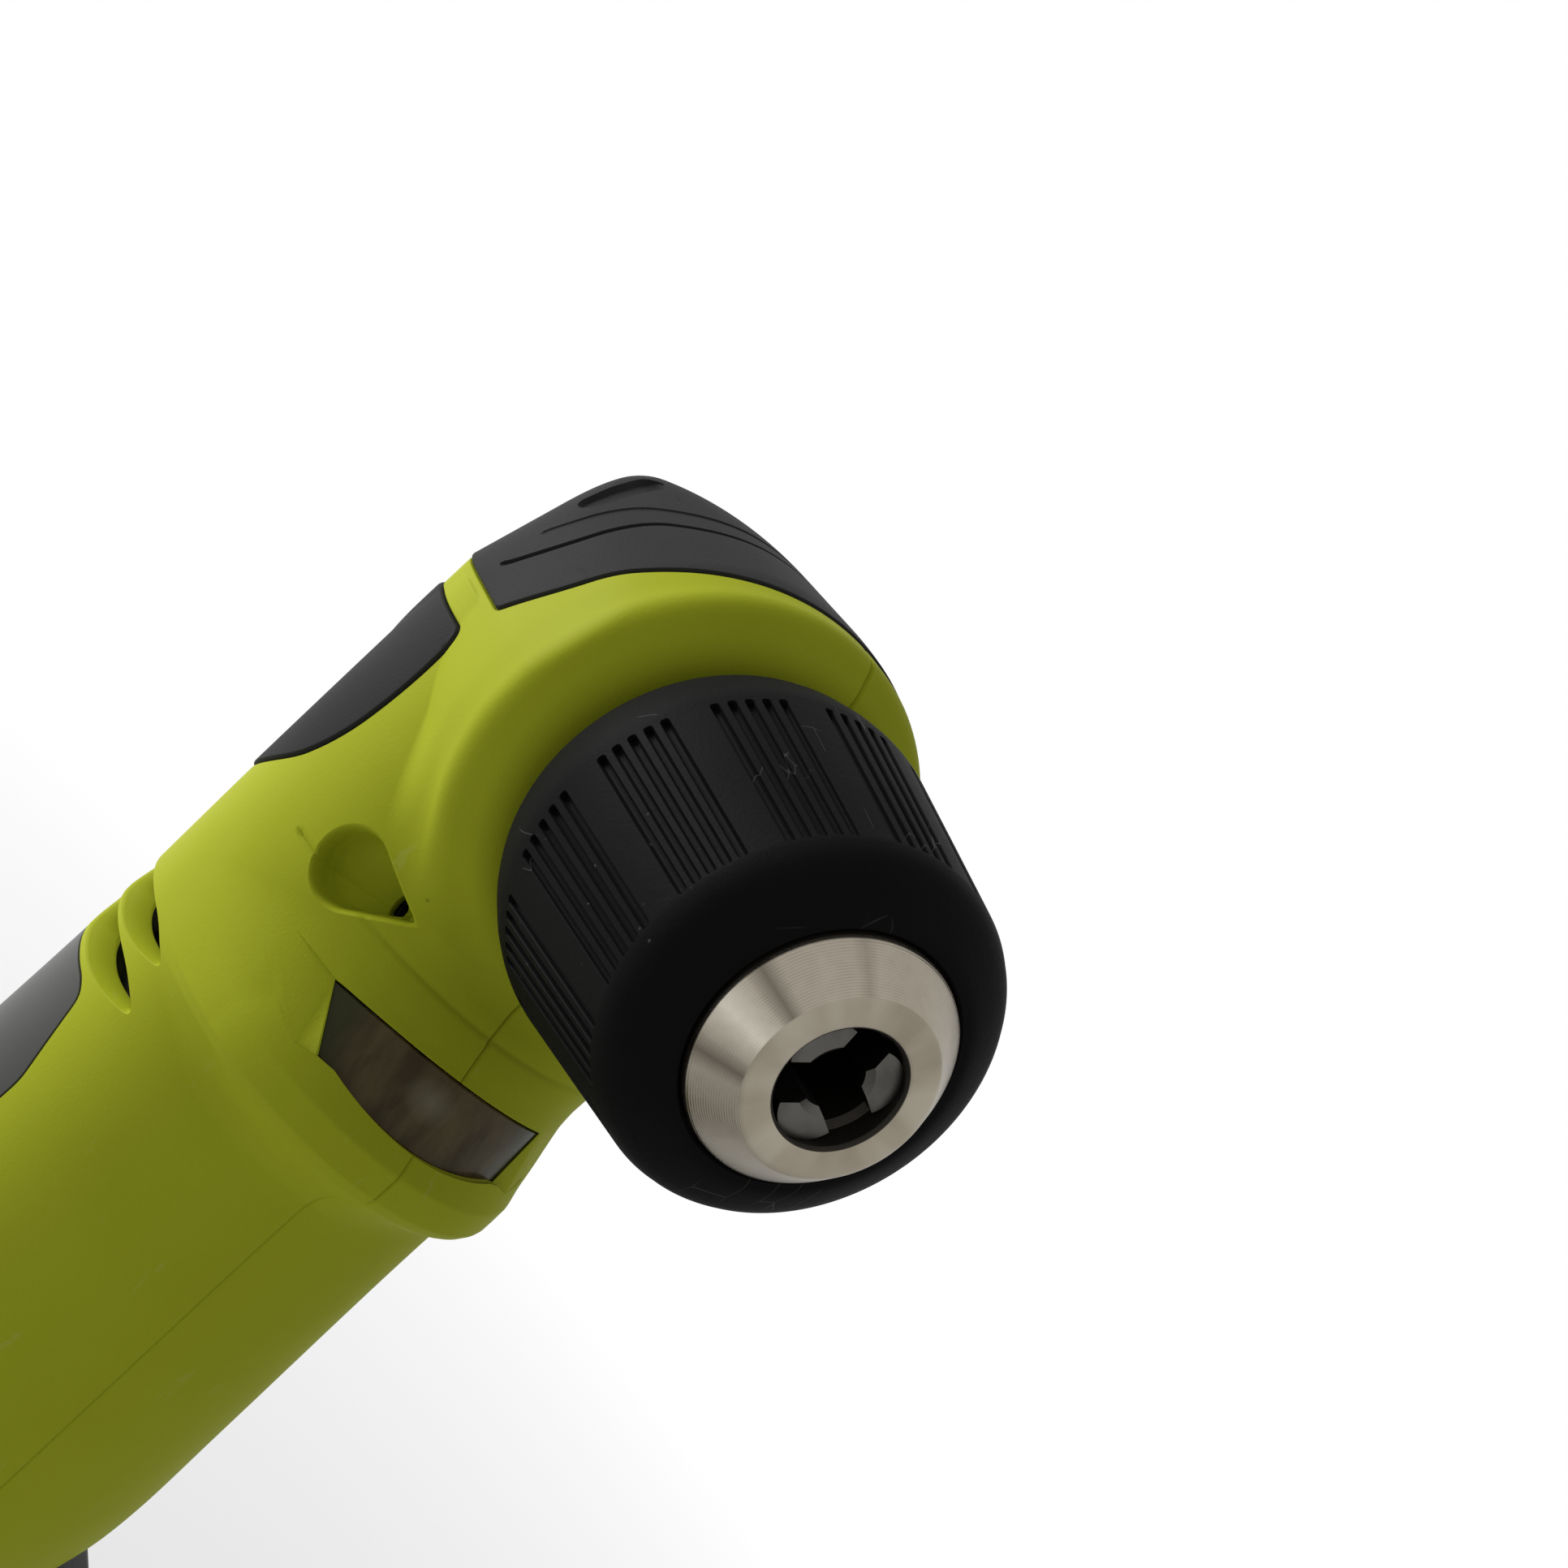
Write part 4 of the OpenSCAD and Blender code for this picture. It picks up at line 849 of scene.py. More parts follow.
# Side outlines of the covers, in X and height from the chuck's axis, each forwards along its lower edge
CAP = [(SIDE_FAR, 1.3), (7.6, 1.3), (12.05, 8.3), (13.4, 12.4), (15.0, 16.0), (16.4, 20.7), (17.1, 23.2),
       (17.8, 25.0), (17.9, 40)]
PATCH = [(SIDE_FAR, -36), (-14, -33), (-6.2, -29.5), (0.4, -25), (2.9, -21.3), (4.4, -17.5), (5.2, -13),
         (5.6, -8), (5.3, -3.0), (SIDE_FAR, -2.9)]
GRIP = [(SIDE_FAR, -216), (-8, -212), (-2, -204), (1, -190), (2, -150), (1, -118), (-3, -108), (-12, -104),
        (SIDE_FAR, -104)]
LABEL = rounded([(8.2, -67), (5, -57.5), (2.8, -56.7), (-12, -56.7), (-14.5, -59.5), (-14.5, -92), (-12, -95),
                 (5.5, -95), (8.2, -92)][::-1], 1.2)
SCREWS = [(16.4, -25.8), (-13, -117), (-13, -183), (8, -188), (25, -254), (-29, -254)]


def softened(points, radii):
    """An open outline with its corners rounded, by the radius given for a corner or that for 0."""
    points = np.array(points, float)
    out, steps = [points[0]], 8
    for i in range(1, len(points) - 1):
        u, v = points[i - 1] - points[i], points[i + 1] - points[i]
        r = radii.get(i, radii[0])
        p = points[i] + unit(u) * min(r, np.linalg.norm(u) * 0.48)
        q = points[i] + unit(v) * min(r, np.linalg.norm(v) * 0.48)
        for t in np.linspace(0, 1, steps + 1):
            out.append((1 - t) ** 2 * p + 2 * t * (1 - t) * points[i] + t * t * q)
    return np.array(out + [points[-1]])


def closed_by(curve):
    """An open outline closed well behind the tool, for a block."""
    far_x = -60.0
    return np.vstack([curve, [[far_x, curve[-1, 1]], [far_x, curve[0, 1]]]])


def cover(name, node, look, curve, rise, top, bottom, grooves=()):
    """A soft cover over part of the housing, slightly proud of it, and the cutters of its recess and seam."""
    soft = skin_solid(rise, top, bottom, name=name, look=look)
    inner = skin_solid(-COVER_DEPTH, None if top is None else top - 2, bottom + 2, fine=1.6)
    carve(soft, prism(closed_by(curve)), how="INTERSECT")
    carve(soft, inner, keep=True)
    line = wrapped(curve)
    carve(soft, swept(line, seam(rise)), *grooves)
    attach(soft, "housing")
    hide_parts(node)
    fair(soft, rise)
    return carve(prism(closed_by(curve)), inner), swept(line, seam(rise))


def read(items, key, width=1, kind=float):
    """A mesh attribute as numbers, or as rows of them."""
    out = np.empty(len(items) * width, kind)
    items.foreach_get(key, out)
    return out if width == 1 else out.reshape(-1, width)


def fair(obj, level=0.0, form=housing_form, clear=0.0, angle=35.0):
    """Gives the faces that lie on an exact form that form's own normals, clear of the parting line."""
    shade(obj, angle)
    mesh = obj.data
    place = read(mesh.vertices, "co", 3) / MM - [0, 0, CHUCK_H]
    corner = read(mesh.loops, "vertex_index", kind=int)
    sizes = read(mesh.polygons, "loop_total", kind=int)
    face_normal = np.repeat(read(mesh.polygons, "normal", 3), sizes, axis=0)
    own = read(mesh.corner_normals, "vector", 3)
    near_form, aligned = 0.03, 0.86
    on = (np.abs(form(*place.T) - level) < near_form) & (np.abs(place[:, 1]) >= clear)
    exact = np.zeros_like(place)
    exact[on] = normal_of(form, place[on])
    use = on[corner] & (np.sum(exact[corner] * face_normal, axis=1) > aligned)
    own[use] = exact[corner][use]
    mesh.normals_split_custom_set(own.tolist())
    return obj


shell = skin_solid(0.0, form=parted_form, name="shell", look="lime")

# How far the covers stand proud of the shell, and the label below it
CAP_RISE, PATCH_RISE, GRIP_RISE, LABEL_RISE = 0.25, 0.3, 0.5, -0.05
GROOVE = np.array([(-0.8, 4.0), (0.1, 4.5), (2.5, 8.9), (3.7, 12.4), (3.3, 15.5), (2.9, 18.5), (3.8, 21.1),
                   (3.9, 24.0), (3.7, 25.0), (3.6, 34.0)])
cap_grooves = [swept(wrapped(softened(line, {0: 2}), CAP_RISE, False), gouge(width, deep), False)
               for line, width, deep in ((GROOVE, 0.45, 0.45), (GROOVE[2:] - [4.6, 0], 0.6, 0.2))]
dimple = spaced(np.array([(-4.6, 13.6), (-6.2, 16.4), (-8.4, 19), (-11, 21.4)]), 0.5, closed=False)
cap_grooves += [swept(on_side(dimple, side, CAP_RISE), gouge(1.7, 0.8), False) for side in (-1, 1)]
back_turns = np.linspace(math.pi - 1.05, math.pi + 1.05, 110)
back_lines = [skin_points(housing_form, PATCH_RISE, back_turns, [], [-drop])[0] for drop in (10, 17, 24)]
back_grooves = [swept(line, gouge(0.55, 0.6), False) for line in back_lines]
recesses, seams = zip(
    cover("head_cover", "head_cap", "soft", softened(CAP, {0: 4, 1: 0.8}), CAP_RISE, None, 6.0, cap_grooves),
    cover("rear_cover", "rear_grip", "soft", softened(PATCH, {0: 4, 8: 1.6}), PATCH_RISE, 0.5, 42.0,
          back_grooves),
    cover("palm_grip", "handle_grip", "palm", softened(GRIP, {0: 12}), GRIP_RISE, 100, 222.0))
carve(shell, *recesses)
carve(shell, *seams)
for name, side in (("label_left", -1), ("label_right", 1)):
    plate = skin_solid(LABEL_RISE, 50, 100, name=name, look="label", fine=1.5)
    inner = skin_solid(-LABEL_DEPTH, 48, 102, fine=1.8)
    carve(plate, prism(LABEL, side), how="INTERSECT")
    carve(plate, inner, keep=True)
    line = on_side(spaced(LABEL, SKIN_STEP), side)[::-side]
    edge = seam(LABEL_RISE, 0.3, 0.05, 0.8)
    carve(plate, swept(line, edge))
    carve(shell, carve(prism(LABEL, side), inner), swept(line, edge))
    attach(plate, "housing")
    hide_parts("label_plates")
    fair(plate, LABEL_RISE)


def through_side(rings, side, end=None):
    """A closed plug through one side: rings of side points, each with its height over the skin."""
    rows = [on_side(points, side) + [0, side * height, 0] for points, height in rings]
    rows.insert(0, rows[0] + [0, side * 6, 0])
    if end is not None:
        rows.append(rows[-1] * [1, 0, 1] + [0, side * end, 0])
    return loft(rows)


def vent(front, drop, side, wall=0.0):
    """A leaf-shaped vent whose lower flank slopes in to a slit along its upper edge."""
    leaf = spaced(rounded([(front + 1.2, -drop), (front - 4, -drop + 1.95), (front - 9, -drop + 2.3),
                           (front - 21, -drop + 2.3), (front - 24.5, -drop), (front - 21, -drop - 2.3),
                           (front - 9, -drop - 2.3), (front - 4, -drop - 1.6)][::-1], 3.0, 6), 0.4)
    centre = np.array([front - 11, -drop])
    leaf = offset_outline(leaf, wall) if wall else leaf
    rings = [(centre + (leaf - centre) * [0.45 + shrink * 0.55, shrink] + [0, rise], height)
             for shrink, rise, height in ((1.16, 0.0, 0.6), (1.06, 0.0, 0.02), (0.98, 0.0, -0.4),
                                          (0.82, 0.08, -1.5), (0.74, 0.16, -3.2), (0.7, 0.18, -7.5))]
    return through_side(rings[:-1] if wall else rings, side)


def vents(side, wall=0.0):
    return [vent(9.3, 48.0, side, wall), vent(10.9, 53.3, side, wall)]


for side in (-1, 1):
    carve(shell, *vents(side))


def circle_outline(x, z, r, count=40):
    turn = 2 * math.pi * np.arange(count) / count
    return np.stack([x + r * np.cos(turn), z + r * np.sin(turn)], -1)


def teardrop(wall=0.0):
    """The flared recess round the head's screw, drawn out to a tip towards the chuck.

    Its rim lies square to the skin there, and its throat runs straight in to the screw."""
    middle = np.array([15.84, -20.01, -26.09])
    ahead, rise, outward = np.array([0.769, 0.639, 0]), np.array([0, 0, 1.0]), np.array([0.639, -0.769, 0])
    lean, radius, spread = math.radians(9), 4.3, math.radians(61.5)
    turn = np.linspace(-math.pi, math.pi, 97)[:-1]
    reach = np.minimum(radius / np.cos(np.maximum(spread - np.abs(turn), 0)), 8.6) + wall
    rim = reach[:, None] * (np.cos(turn + lean)[:, None] * ahead + np.sin(turn + lean)[:, None] * rise)
    rows = []
    for grow, height in ((1.12, 7), (1.12, 0.5), (1.05, 0.02), (0.99, -0.25), (0.95, -0.8), (0.9, -2.2),
                         (0.84, -3.6)):
        start = middle - outward * 8 + rim * grow
        hit = march(housing_form, start, np.tile(outward, (96, 1)), near=0.0, far=16)
        rows.append(hit + outward * (height - (wall if height < -1 else 0)))
    around = np.stack([np.cos(turn + lean), np.zeros(96), np.sin(turn + lean)], -1)
    throat = np.array([16.4, -13.2 + wall * 0.5, -25.8]) + around * (1.7 + wall)
    last = rows[-1]
    for share in (0.35, 0.7, 1.0):
        rows.append(last * (1 - share) + throat * share)
    for widening, height in ((0, -12.6), (1.6, -12.55), (1.6, -10.2 + wall * 0.3)):
        rows.append(throat * [1, 0, 1] + around * widening + [0, height, 0])
    return loft(rows)


carve(shell, teardrop())
for x, z in SCREWS[1:]:
    carve(shell, through_side([(circle_outline(x, z, r), height) for r, height in (
        (4.3, 0.6), (3.95, 0.02), (3.65, -0.12), (3.5, -0.45))], -1, end=10.0))


LENS_R = 22.0            # radius of the lamp's front
LENS_HIGH, LENS_LOW = -0.05, -6.8
LENS_HALF, LENS_TAPER = 15.0, 0.37     # half width at the top edge, and how fast it narrows downwards


def tilted(rho, turn, along):
    """A point of the lamp's curved front: radius, angle and height in the lens's own frame."""
    local = np.array([rho * math.cos(turn) - LENS_R, rho * math.sin(turn), along])
    tilt = math.radians(21)
    x = local[0] * math.cos(tilt) - local[2] * math.sin(tilt)
    z = local[0] * math.sin(tilt) + local[2] * math.cos(tilt)
    return (27.0 + x, local[1], -31.8 + z)


def sag(along, y):
    """How far the lens's edges bow downwards at a place across it."""
    share = (LENS_HIGH - along) / (LENS_HIGH - LENS_LOW)
    half = LENS_HALF + along * LENS_TAPER
    return (0.9 + 1.5 * share) * max(0.0, 1 - (y / half) ** 2)


def lens_solid(name, r0, r1, grow, look=None, soft=0.0):
    """A curved slab of the lamp between two radii, narrower at its lower edge."""
    rows, count = [], 60
    low, high = LENS_LOW - grow, LENS_HIGH + grow
    edge = [(low, soft), (low + soft, 0), (high - soft, 0), (high, soft)] if soft else [(low, 0), (high, 0)]
    for along, draw in edge:
        half = LENS_HALF + grow + along * LENS_TAPER - draw
        outer, inner = r1 - draw, r0 + draw
        across = np.linspace(-half, half, count)
        ring = [tilted(outer, math.asin(y / outer), along - sag(along, y)) for y in across]
        ring += [tilted(inner, math.asin(y / inner), along - sag(along, y)) for y in across[::-1]]
        rows.append(ring)
    return loft(rows, name, look)


def lens_rings(sections):
    """A closed block of the lamp's frame, from outlines of (forwards, aside, height) points."""
    return loft([[tilted(math.hypot(x, y), math.atan2(y, x), z) for x, y, z in ring] for ring in sections])


def pocket():
    """The recess before the lens's curved floor."""
    rings = []
    for along, half in ((LENS_LOW - 0.05, 12.8), (0.1, 15.3)):
        turns = np.linspace(-math.asin(half / LENS_R), math.asin(half / LENS_R), 60)
        inner = [(LENS_R * math.cos(t), LENS_R * math.sin(t)) for t in turns]
        outer = [(60, half * (1 - k / 20)) for k in range(41)]
        rings.append([(x, y, along - sag(along, y)) for x, y in inner + outer])
    return lens_rings(rings)


def pocket_flare(side):
    """The sloping end of the recess, which runs out to the side."""
    rings = []
    for along, half, reach, corner, lift in ((LENS_LOW - 0.05, 12.8, 23.08, 15.1, -0.25),
                                             (0.1, 15.3, 22.55, 18.8, 1.26)):
        near = np.array([math.sqrt(LENS_R ** 2 - half ** 2), half])
        far_point = np.array([math.sqrt(reach ** 2 - corner ** 2), corner])
        away = near + (far_point - near) * 16 / (corner - half)
        start = near - (far_point - near) * 0.06
        ring = [(*start, along), (*away, along + lift * 16 / (corner - half)),
                (60, away[1], along + lift * 16 / (corner - half)), (60, start[1], along)]
        rings.append([(x, side * y, z) for x, y, z in ring])
    return lens_rings(rings)


carve(shell, pocket(), pocket_flare(-1), pocket_flare(1), lens_solid("tool", 19.0, 22.4, 0.04))
lens = lens_solid("lens", 19.5, 21.8, -0.04, "lens", 0.15)
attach(lens, "housing")
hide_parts("led_lens")
shade(lens)


def rectangle(a0, a1, b0, b1, draw, radius, steps):
    """A rounded rectangle, drawn in on all sides."""
    a0, a1, b0, b1 = a0 + draw, a1 - draw, b0 + draw, b1 - draw
    return rounded([(a0, b0), (a1, b0), (a1, b1), (a0, b1)], radius, steps)


collar_bore = [(0.5, 0), (15.3, 0), (15.3, 23.9), (15.9, 24.5), (17.5, 25.5), (17.5, 40), (0.5, 40)]
carve(shell, revolved("tool", collar_bore))
carve(shell, loft([[(x, y, z) for y, z in rectangle(-8.3, 8.3, -179.3, -120.7, -grow, 2.2, 5)]
                   for x, grow in ((12, 0), (17.2, 0), (17.9, 0.15), (18.6, 0.8), (40, 3))]))
slot = spaced(rectangle(3.7, 16.3, -116.3, -109.7, 0, 0.9, 4), 0.6)
for side in (-1, 1):
    carve(shell, through_side([(offset_outline(slot, grow), height) for grow, height in (
        (0.8, 0.6), (0.4, 0.0), (0.1, -0.15), (0, -0.5))], side, end=7.0))
socket = rectangle(-19.3, 15.3, -15.3, 15.3, 0, 8, 8)
carve(shell, loft([[(x, y, z) for x, y in socket] for z in (-269, -207)]))

inside = skin_solid(-SHELL_WALL, None, 268.6, fine=1.8)
carve(inside, cad_copy("left_shell"), cad_copy("right_shell"), teardrop(RECESS_WALL))
carve(inside, *vents(-1, VENT_WALL))
carve(inside, *vents(1, VENT_WALL))
carve(shell, inside)
for name, node, reach in (("shell_left", "left_shell", (-90, 0)), ("shell_right", "right_shell", (0, 90))):
    half = shell.copy()
    half.data = shell.data.copy()
    half.name = half.data.name = name
    scene.collection.objects.link(half)
    carve(half, block(-100, 100, *reach, -300, 60), how="INTERSECT")
    fair(half, clear=PARTING_HALF)
    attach(half, "housing")
    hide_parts(node)
bpy.data.objects.remove(shell)


def add_to(name, look, *solids):
    """One piece out of solids that overlap."""
    solids[0].name = solids[0].data.name = name
    carve(solids[0], *solids[1:], how="UNION")
    solids[0].data.materials.clear()
    solids[0].data.materials.append(LOOK[look])
    return solids[0]


def dress(obj, body, slot, *nodes, angle=30.0, smooth=True):
    """Finishes a piece: its shading, the body it rides on and what it stands for; the slot argument is not
    used.
    """
    if smooth:
        shade(obj, angle)
    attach(obj, body)
    if nodes:
        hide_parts(*nodes)
    return obj


SPUN, PLACED, RANKED = spun_copies(), placed_copies(), ranked_copies()


def spun(part, groups, each, pitch, first):
    copies = SPUN.make("tool", Part=part, Finish=LOOK["dark"], Groups=groups, Each=each,
                       Pitch=math.radians(pitch), First=math.radians(first))
    bpy.data.objects.remove(part)
    return copies


def ranked(part, count, start, end):
    copies = RANKED.make("tool", Part=part, Finish=LOOK["dark"], Count=count,
                         Start=tuple(v * MM for v in start), End=tuple(v * MM for v in end))
    bpy.data.objects.remove(part)
    return copies


# the chuck
# Profiles of the chuck, as radius and distance forwards
SLEEVE = [(17.5, 27.7), (19.4, 27.7), (20, 27.85), (20.6, 28.6), (21, 29.9), (21.45, 32.3), (21.6, 33.8),
          (21.62, 34.6), (21.55, 35.4), (20.2, 45.7), (18.75, 56.6), (18.66, 57.2), (18.5, 57.6),
          (18.3, 58.2), (17.8, 59), (17, 59.8), (16, 60.5), (15, 61.1), (14.2, 61.5), (13.6, 61.72),
          (13.1, 61.76), (12.7, 61.68), (12.5, 61.5), (12.45, 61.32), (14.5, 61.3), (14.5, 52.1),
          (16.65, 52.1), (16.65, 45.9), (17.5, 45.9)]
NOSE = [(4.95, 28.9), (16.8, 28.9), (17.1, 29.2), (17.1, 45.9), (9.6, 45.9), (9.6, 52.1), (14.2, 52.1),
        (14.2, 61.2), (13.6, 61.2), (13.5, 59.4), (12.3, 59.4), (12.2, 61.9), (12.1, 62.3), (11.86, 62.62),
        (11.6, 62.95), (9.05, 65.92), (8.88, 66.08), (8.6, 66.18), (8.3, 66.2), (6.35, 66.2), (6.1, 66.12),
        (5.92, 65.96), (5.8, 65.7), (5.8, 63.6), (5.2, 63), (5.2, 44.5), (2.7, 44.5), (2.7, 42), (4.95, 42)]


def sleeve_form(x, y, z):
    outer = np.array([(along, r) for r, along in SLEEVE[1:22]])
    return (np.hypot(y, z) - np.interp(x, outer[:, 0], outer[:, 1])) * 0.97


def rib_slot():
    """One slot between the sleeve's ribs: a narrow round-ended groove along the taper."""
    back, front, half, deep = 35.9, 56.9, 0.42, 0.75
    painted_shade_ends = (0.03, 0.12, 0.3, 0.45)
    places = [back + e for e in painted_shade_ends] + list(np.linspace(back + 2, front - 2, 6)) + [
        front - e for e in painted_shade_ends[::-1]]
    rows = []
    for x in places:
        near = min(x - back, front - x, half) / half
        w = half * math.sqrt(1 - (1 - near) ** 2)
        r = 21.55 - 0.1322 * (x - 35.4)
        section = [(-w - 0.3, 0.5), (-w - 0.09, 0.04), (-w, -0.1), (-w * 0.96, 0.25 - deep),
                   (-w * 0.6, 0.06 - deep), (0, -deep), (w * 0.6, 0.06 - deep), (w * 0.96, 0.25 - deep),
                   (w, -0.1), (w + 0.09, 0.04), (w + 0.3, 0.5)]
        rows.append([(x, r + height, across) for across, height in section])
    return loft(rows, "slot_tool", lift=0)


sleeve = revolved("sleeve_grip", SLEEVE, "sleeve", 480, closed=True)
carve(sleeve, spun(rib_slot(), 12, 5, 4.35, 16 - 8.7 - 90))
fair(sleeve, form=sleeve_form, angle=28)
dress(sleeve, "sleeve", "sleeve_black", "chuck_sleeve", smooth=False)

JAW_TURN, JAW_TILT = 7.3, math.radians(15)
jaw_axes = []
for number in range(3):
    turn = math.radians(JAW_TURN + 120 * number)
    outward = np.array([0, math.sin(turn), -math.cos(turn)])
    aside = np.cross([1.0, 0, 0], outward)
    heading = np.array([-math.cos(JAW_TILT), 0, 0]) + outward * math.sin(JAW_TILT)
    jaw_axes.append((np.array([66.2, 0, 0]) + outward * 2.395, heading, outward, aside))

nose = revolved("nose", NOSE, "nose", 360, closed=True)
for start, heading, outward, aside in jaw_axes:
    carve(nose, revolved("tool", [(3.25, -1), (3.25, 60)], steps=96, origin=start, heading=heading))
dress(nose, "spindle", "chuck_steel", "chuck_body", angle=24)


def chuck_jaw(number):
    """A jaw: a slanted rod with a wedge-shaped face, a hollow for the bit and a threaded back."""
    start, heading, outward, aside = jaw_axes[number]
    jaw = revolved("grip_jaw_%d" % (number + 1), [(3.2, -2), (3.2, 28.5), (2.7, 29)], "jaw", 96, origin=start,
                   heading=heading)
    flank = 11.73 * math.tan(math.radians(60))
    wedge = [(2.27, 0), (14, flank), (14, -flank)]
    rows = [[np.array([x, 0, 0]) + outward * r + aside * t for r, t in wedge] for x in (20, 80)]
    carve(jaw, loft(rows), how="INTERSECT")
    carve(jaw, block(20, 65.0, -30, 30, -30, 30), how="INTERSECT")
    carve(jaw, revolved("tool", [(2.8, 20), (2.8, 80)], steps=96))
    carve(jaw, revolved("tool", [(0.05, 61.86), (4.7, 66.13)], steps=128))
    across = unit(outward - heading * np.dot(outward, heading))
    corners = [heading * s + across * r + aside * t for s in (-0.3, 0.3) for r in (-0.65, 2) for t in (-4, 4)]
    slab = piece("slot_tool", corners, BOX_FACES, lift=0)
    last = start + heading * 27.9 + across * 3.35 + [0, 0, CHUCK_H]
    return carve(jaw, ranked(slab, 12, last, last - heading * 1.27 * 11))


for number in range(3):
    name = "jaw_%d" % (number + 1)
    dress(chuck_jaw(number), name, "chuck_steel", name, angle=20)


# trigger and selector
TRIGGER_Z = -150.0


def flat_rows(outlines):
    """Rows of points from outlines of (x, y) at heights."""
    return np.array([[(x, y, z) for x, y in ring] for ring, z in outlines])


def corner_draw(z):
    """How far the trigger's rounded ends draw in at a height from its middle."""
    return 2 * (1 - math.sqrt(1 - min(1, max(0, (abs(z) - 27) / 2)) ** 2))


def finger_front(z):
    """The trigger's front at a height from its middle: a long curve with a finger's hollow and fine ribs."""
    curve = -80.9 + math.sqrt(110 ** 2 - z * z)
    hollow = 1.7 * math.exp(-((z - 2) / 13) ** 2)
    ribs = 0.3 * (0.5 + 0.5 * np.cos(2 * np.pi * z / 2.6)) * ease(22 - np.abs(z), 0, 3)
    return curve - hollow - ribs - corner_draw(z)


def trigger_body():
    outlines = []
    back = 12.8
    heights = np.concatenate([-29 + np.array([0, 0.1, 0.4, 0.9, 1.5]), np.linspace(-26.8, 26.8, 150),
                              29 - np.array([1.5, 0.9, 0.4, 0.1, 0])])
    around = np.linspace(-math.pi / 2, math.pi / 2, 49)
    for z in heights:
        half, reach = 8 - corner_draw(z), finger_front(z) - back
        ring = [(back + reach * math.cos(t) ** 0.45, half * math.copysign(abs(math.sin(t)) ** 0.45, t))
                for t in around]
        outlines.append((ring, z + TRIGGER_Z))
    return loft(flat_rows(outlines))


def trigger_flange():
    """The plate behind the trigger, with rounded corners and softened edges."""
    return loft([[(x, y, z + TRIGGER_Z) for y, z in rectangle(-9.5, 9.5, -30.5, 30.5, draw, 2, 6)]
                 for x, draw in ((12, 0.4), (12.4, 0), (13.2, 0), (13.6, 0.4))])


stalk = revolved("tool", [(3, -2.5), (3, 19)], steps=64, origin=(0, 0, TRIGGER_Z))
spring_room = revolved("tool", [(5.2, 11), (5.2, 18.2)], steps=64, origin=(0, 0, TRIGGER_Z))
finger = carve(trigger_body(), trigger_flange(), how="UNION")
trigger = add_to("finger_trigger", "dark", carve(finger, spring_room), stalk)
dress(trigger, "trigger", "black_plastic", "trigger", angle=32)


def selector_block():
    """The cross button: a long bar with softened ends and three ridges cut in each."""
    edge = ((24.5, 0.8), (24.4, 0.4), (24.1, 0.12), (23.6, 0))
    bar = loft([[(x, y, z) for x, z in rectangle(4, 16, -116, -110, draw, 0.8, 4)]
                for y, draw in [(-y, draw) for y, draw in edge] + list(edge[::-1])])
    for side in (-1, 1):
        for x in (7.4, 10, 12.6):
            carve(bar, block(x - 0.45, x + 0.45, *sorted((side * 24.0, side * 26)), -115.2, -110.8))
    return bar


selector = add_to("cross_button", "dark", selector_block(), block(2, 6, -2, 2, -120, -112))
dress(selector, "selector", "black_plastic", "direction_selector")


# the battery
PACK_X = -1.2


def oval(half_x, half_y, power):
    turns = math.tau * np.arange(240) / 240
    c, s = np.cos(turns), np.sin(turns)
    r = (np.abs(c / half_x) ** power + np.abs(s / half_y) ** power) ** (-1 / power)
    return np.stack([PACK_X + r * c, r * s], -1)


def battery_form(sections, inset=0.0):
    """A closed loft up the battery: sections of height over the floor, half sizes and squareness."""
    return loft(flat_rows([
        (oval(a - inset, b - inset, power), z - CHUCK_H) for z, a, b, power in sections]))


def hollowed(outer, inner, node):
    """Takes from the outer form what the solid model leaves empty inside it."""
    carve(inner, cad_copy(node))
    return carve(outer, inner)


FOOT_ROUND = 1.8
# Sections up the battery: height, half sizes along X and Y, squareness
TUB = [(FOOT_ROUND * (1 - math.cos(t)), 52 - FOOT_ROUND * (1 - math.sin(t)),
        39 - FOOT_ROUND * (1 - math.sin(t)), 8) for t in np.radians([0, 20, 40, 60, 75])]
TUB += [(FOOT_ROUND, 52, 39, 8), (10, 52, 39, 8), (23.2, 52, 39, 8), (23.6, 51.93, 38.93, 8),
        (23.85, 51.75, 38.75, 8), (24, 51.45, 38.45, 8)]
LID = [(24, 51.45, 38.45, 8), (24.15, 51.75, 38.75, 8), (24.4, 51.85, 38.85, 8), (25, 51.55, 38.75, 7.6),
       (26.5, 50.2, 38.3, 6.4), (28, 48.5, 37.75, 5.4), (30, 46.1, 36.85, 4.2), (31.3, 44.7, 36.3, 3.6),
       (32, 44.0, 36.0, 3.4), (33, 43.4, 35.75, 3.3), (35, 42.7, 35.35, 3.24), (37.4, 42.1, 35.05, 3.2),
       (37.8, 41.95, 34.9, 3.2), (38, 41.7, 34.6, 3.2)]


def grip_groove():
    """A round-ended upright groove for the row on the battery's side."""
    return revolved("slot_tool", [(0.05, 0), (0.4, 0.1), (0.66, 0.34), (0.8, 0.8), (0.8, 12.6), (0.66, 13.06),
                                  (0.4, 13.3), (0.05, 13.4)], steps=24, heading=(0, 0, 1), lift=0)


tub = battery_form(TUB)
for side in (-1, 1):
    first, last = ((x + PACK_X, side * 39.15, 5.3) for x in (-25.2, 25.2))
    carve(tub, ranked(grip_groove(), 13, first, last))
tub = hollowed(tub, battery_form([(1.2, 52, 39, 8), (26, 52, 39, 8)], 1.3), "pack_tub")
tub = add_to("battery_tub", "pack", tub)
dress(tub, "pack", "black_plastic", "pack_tub")

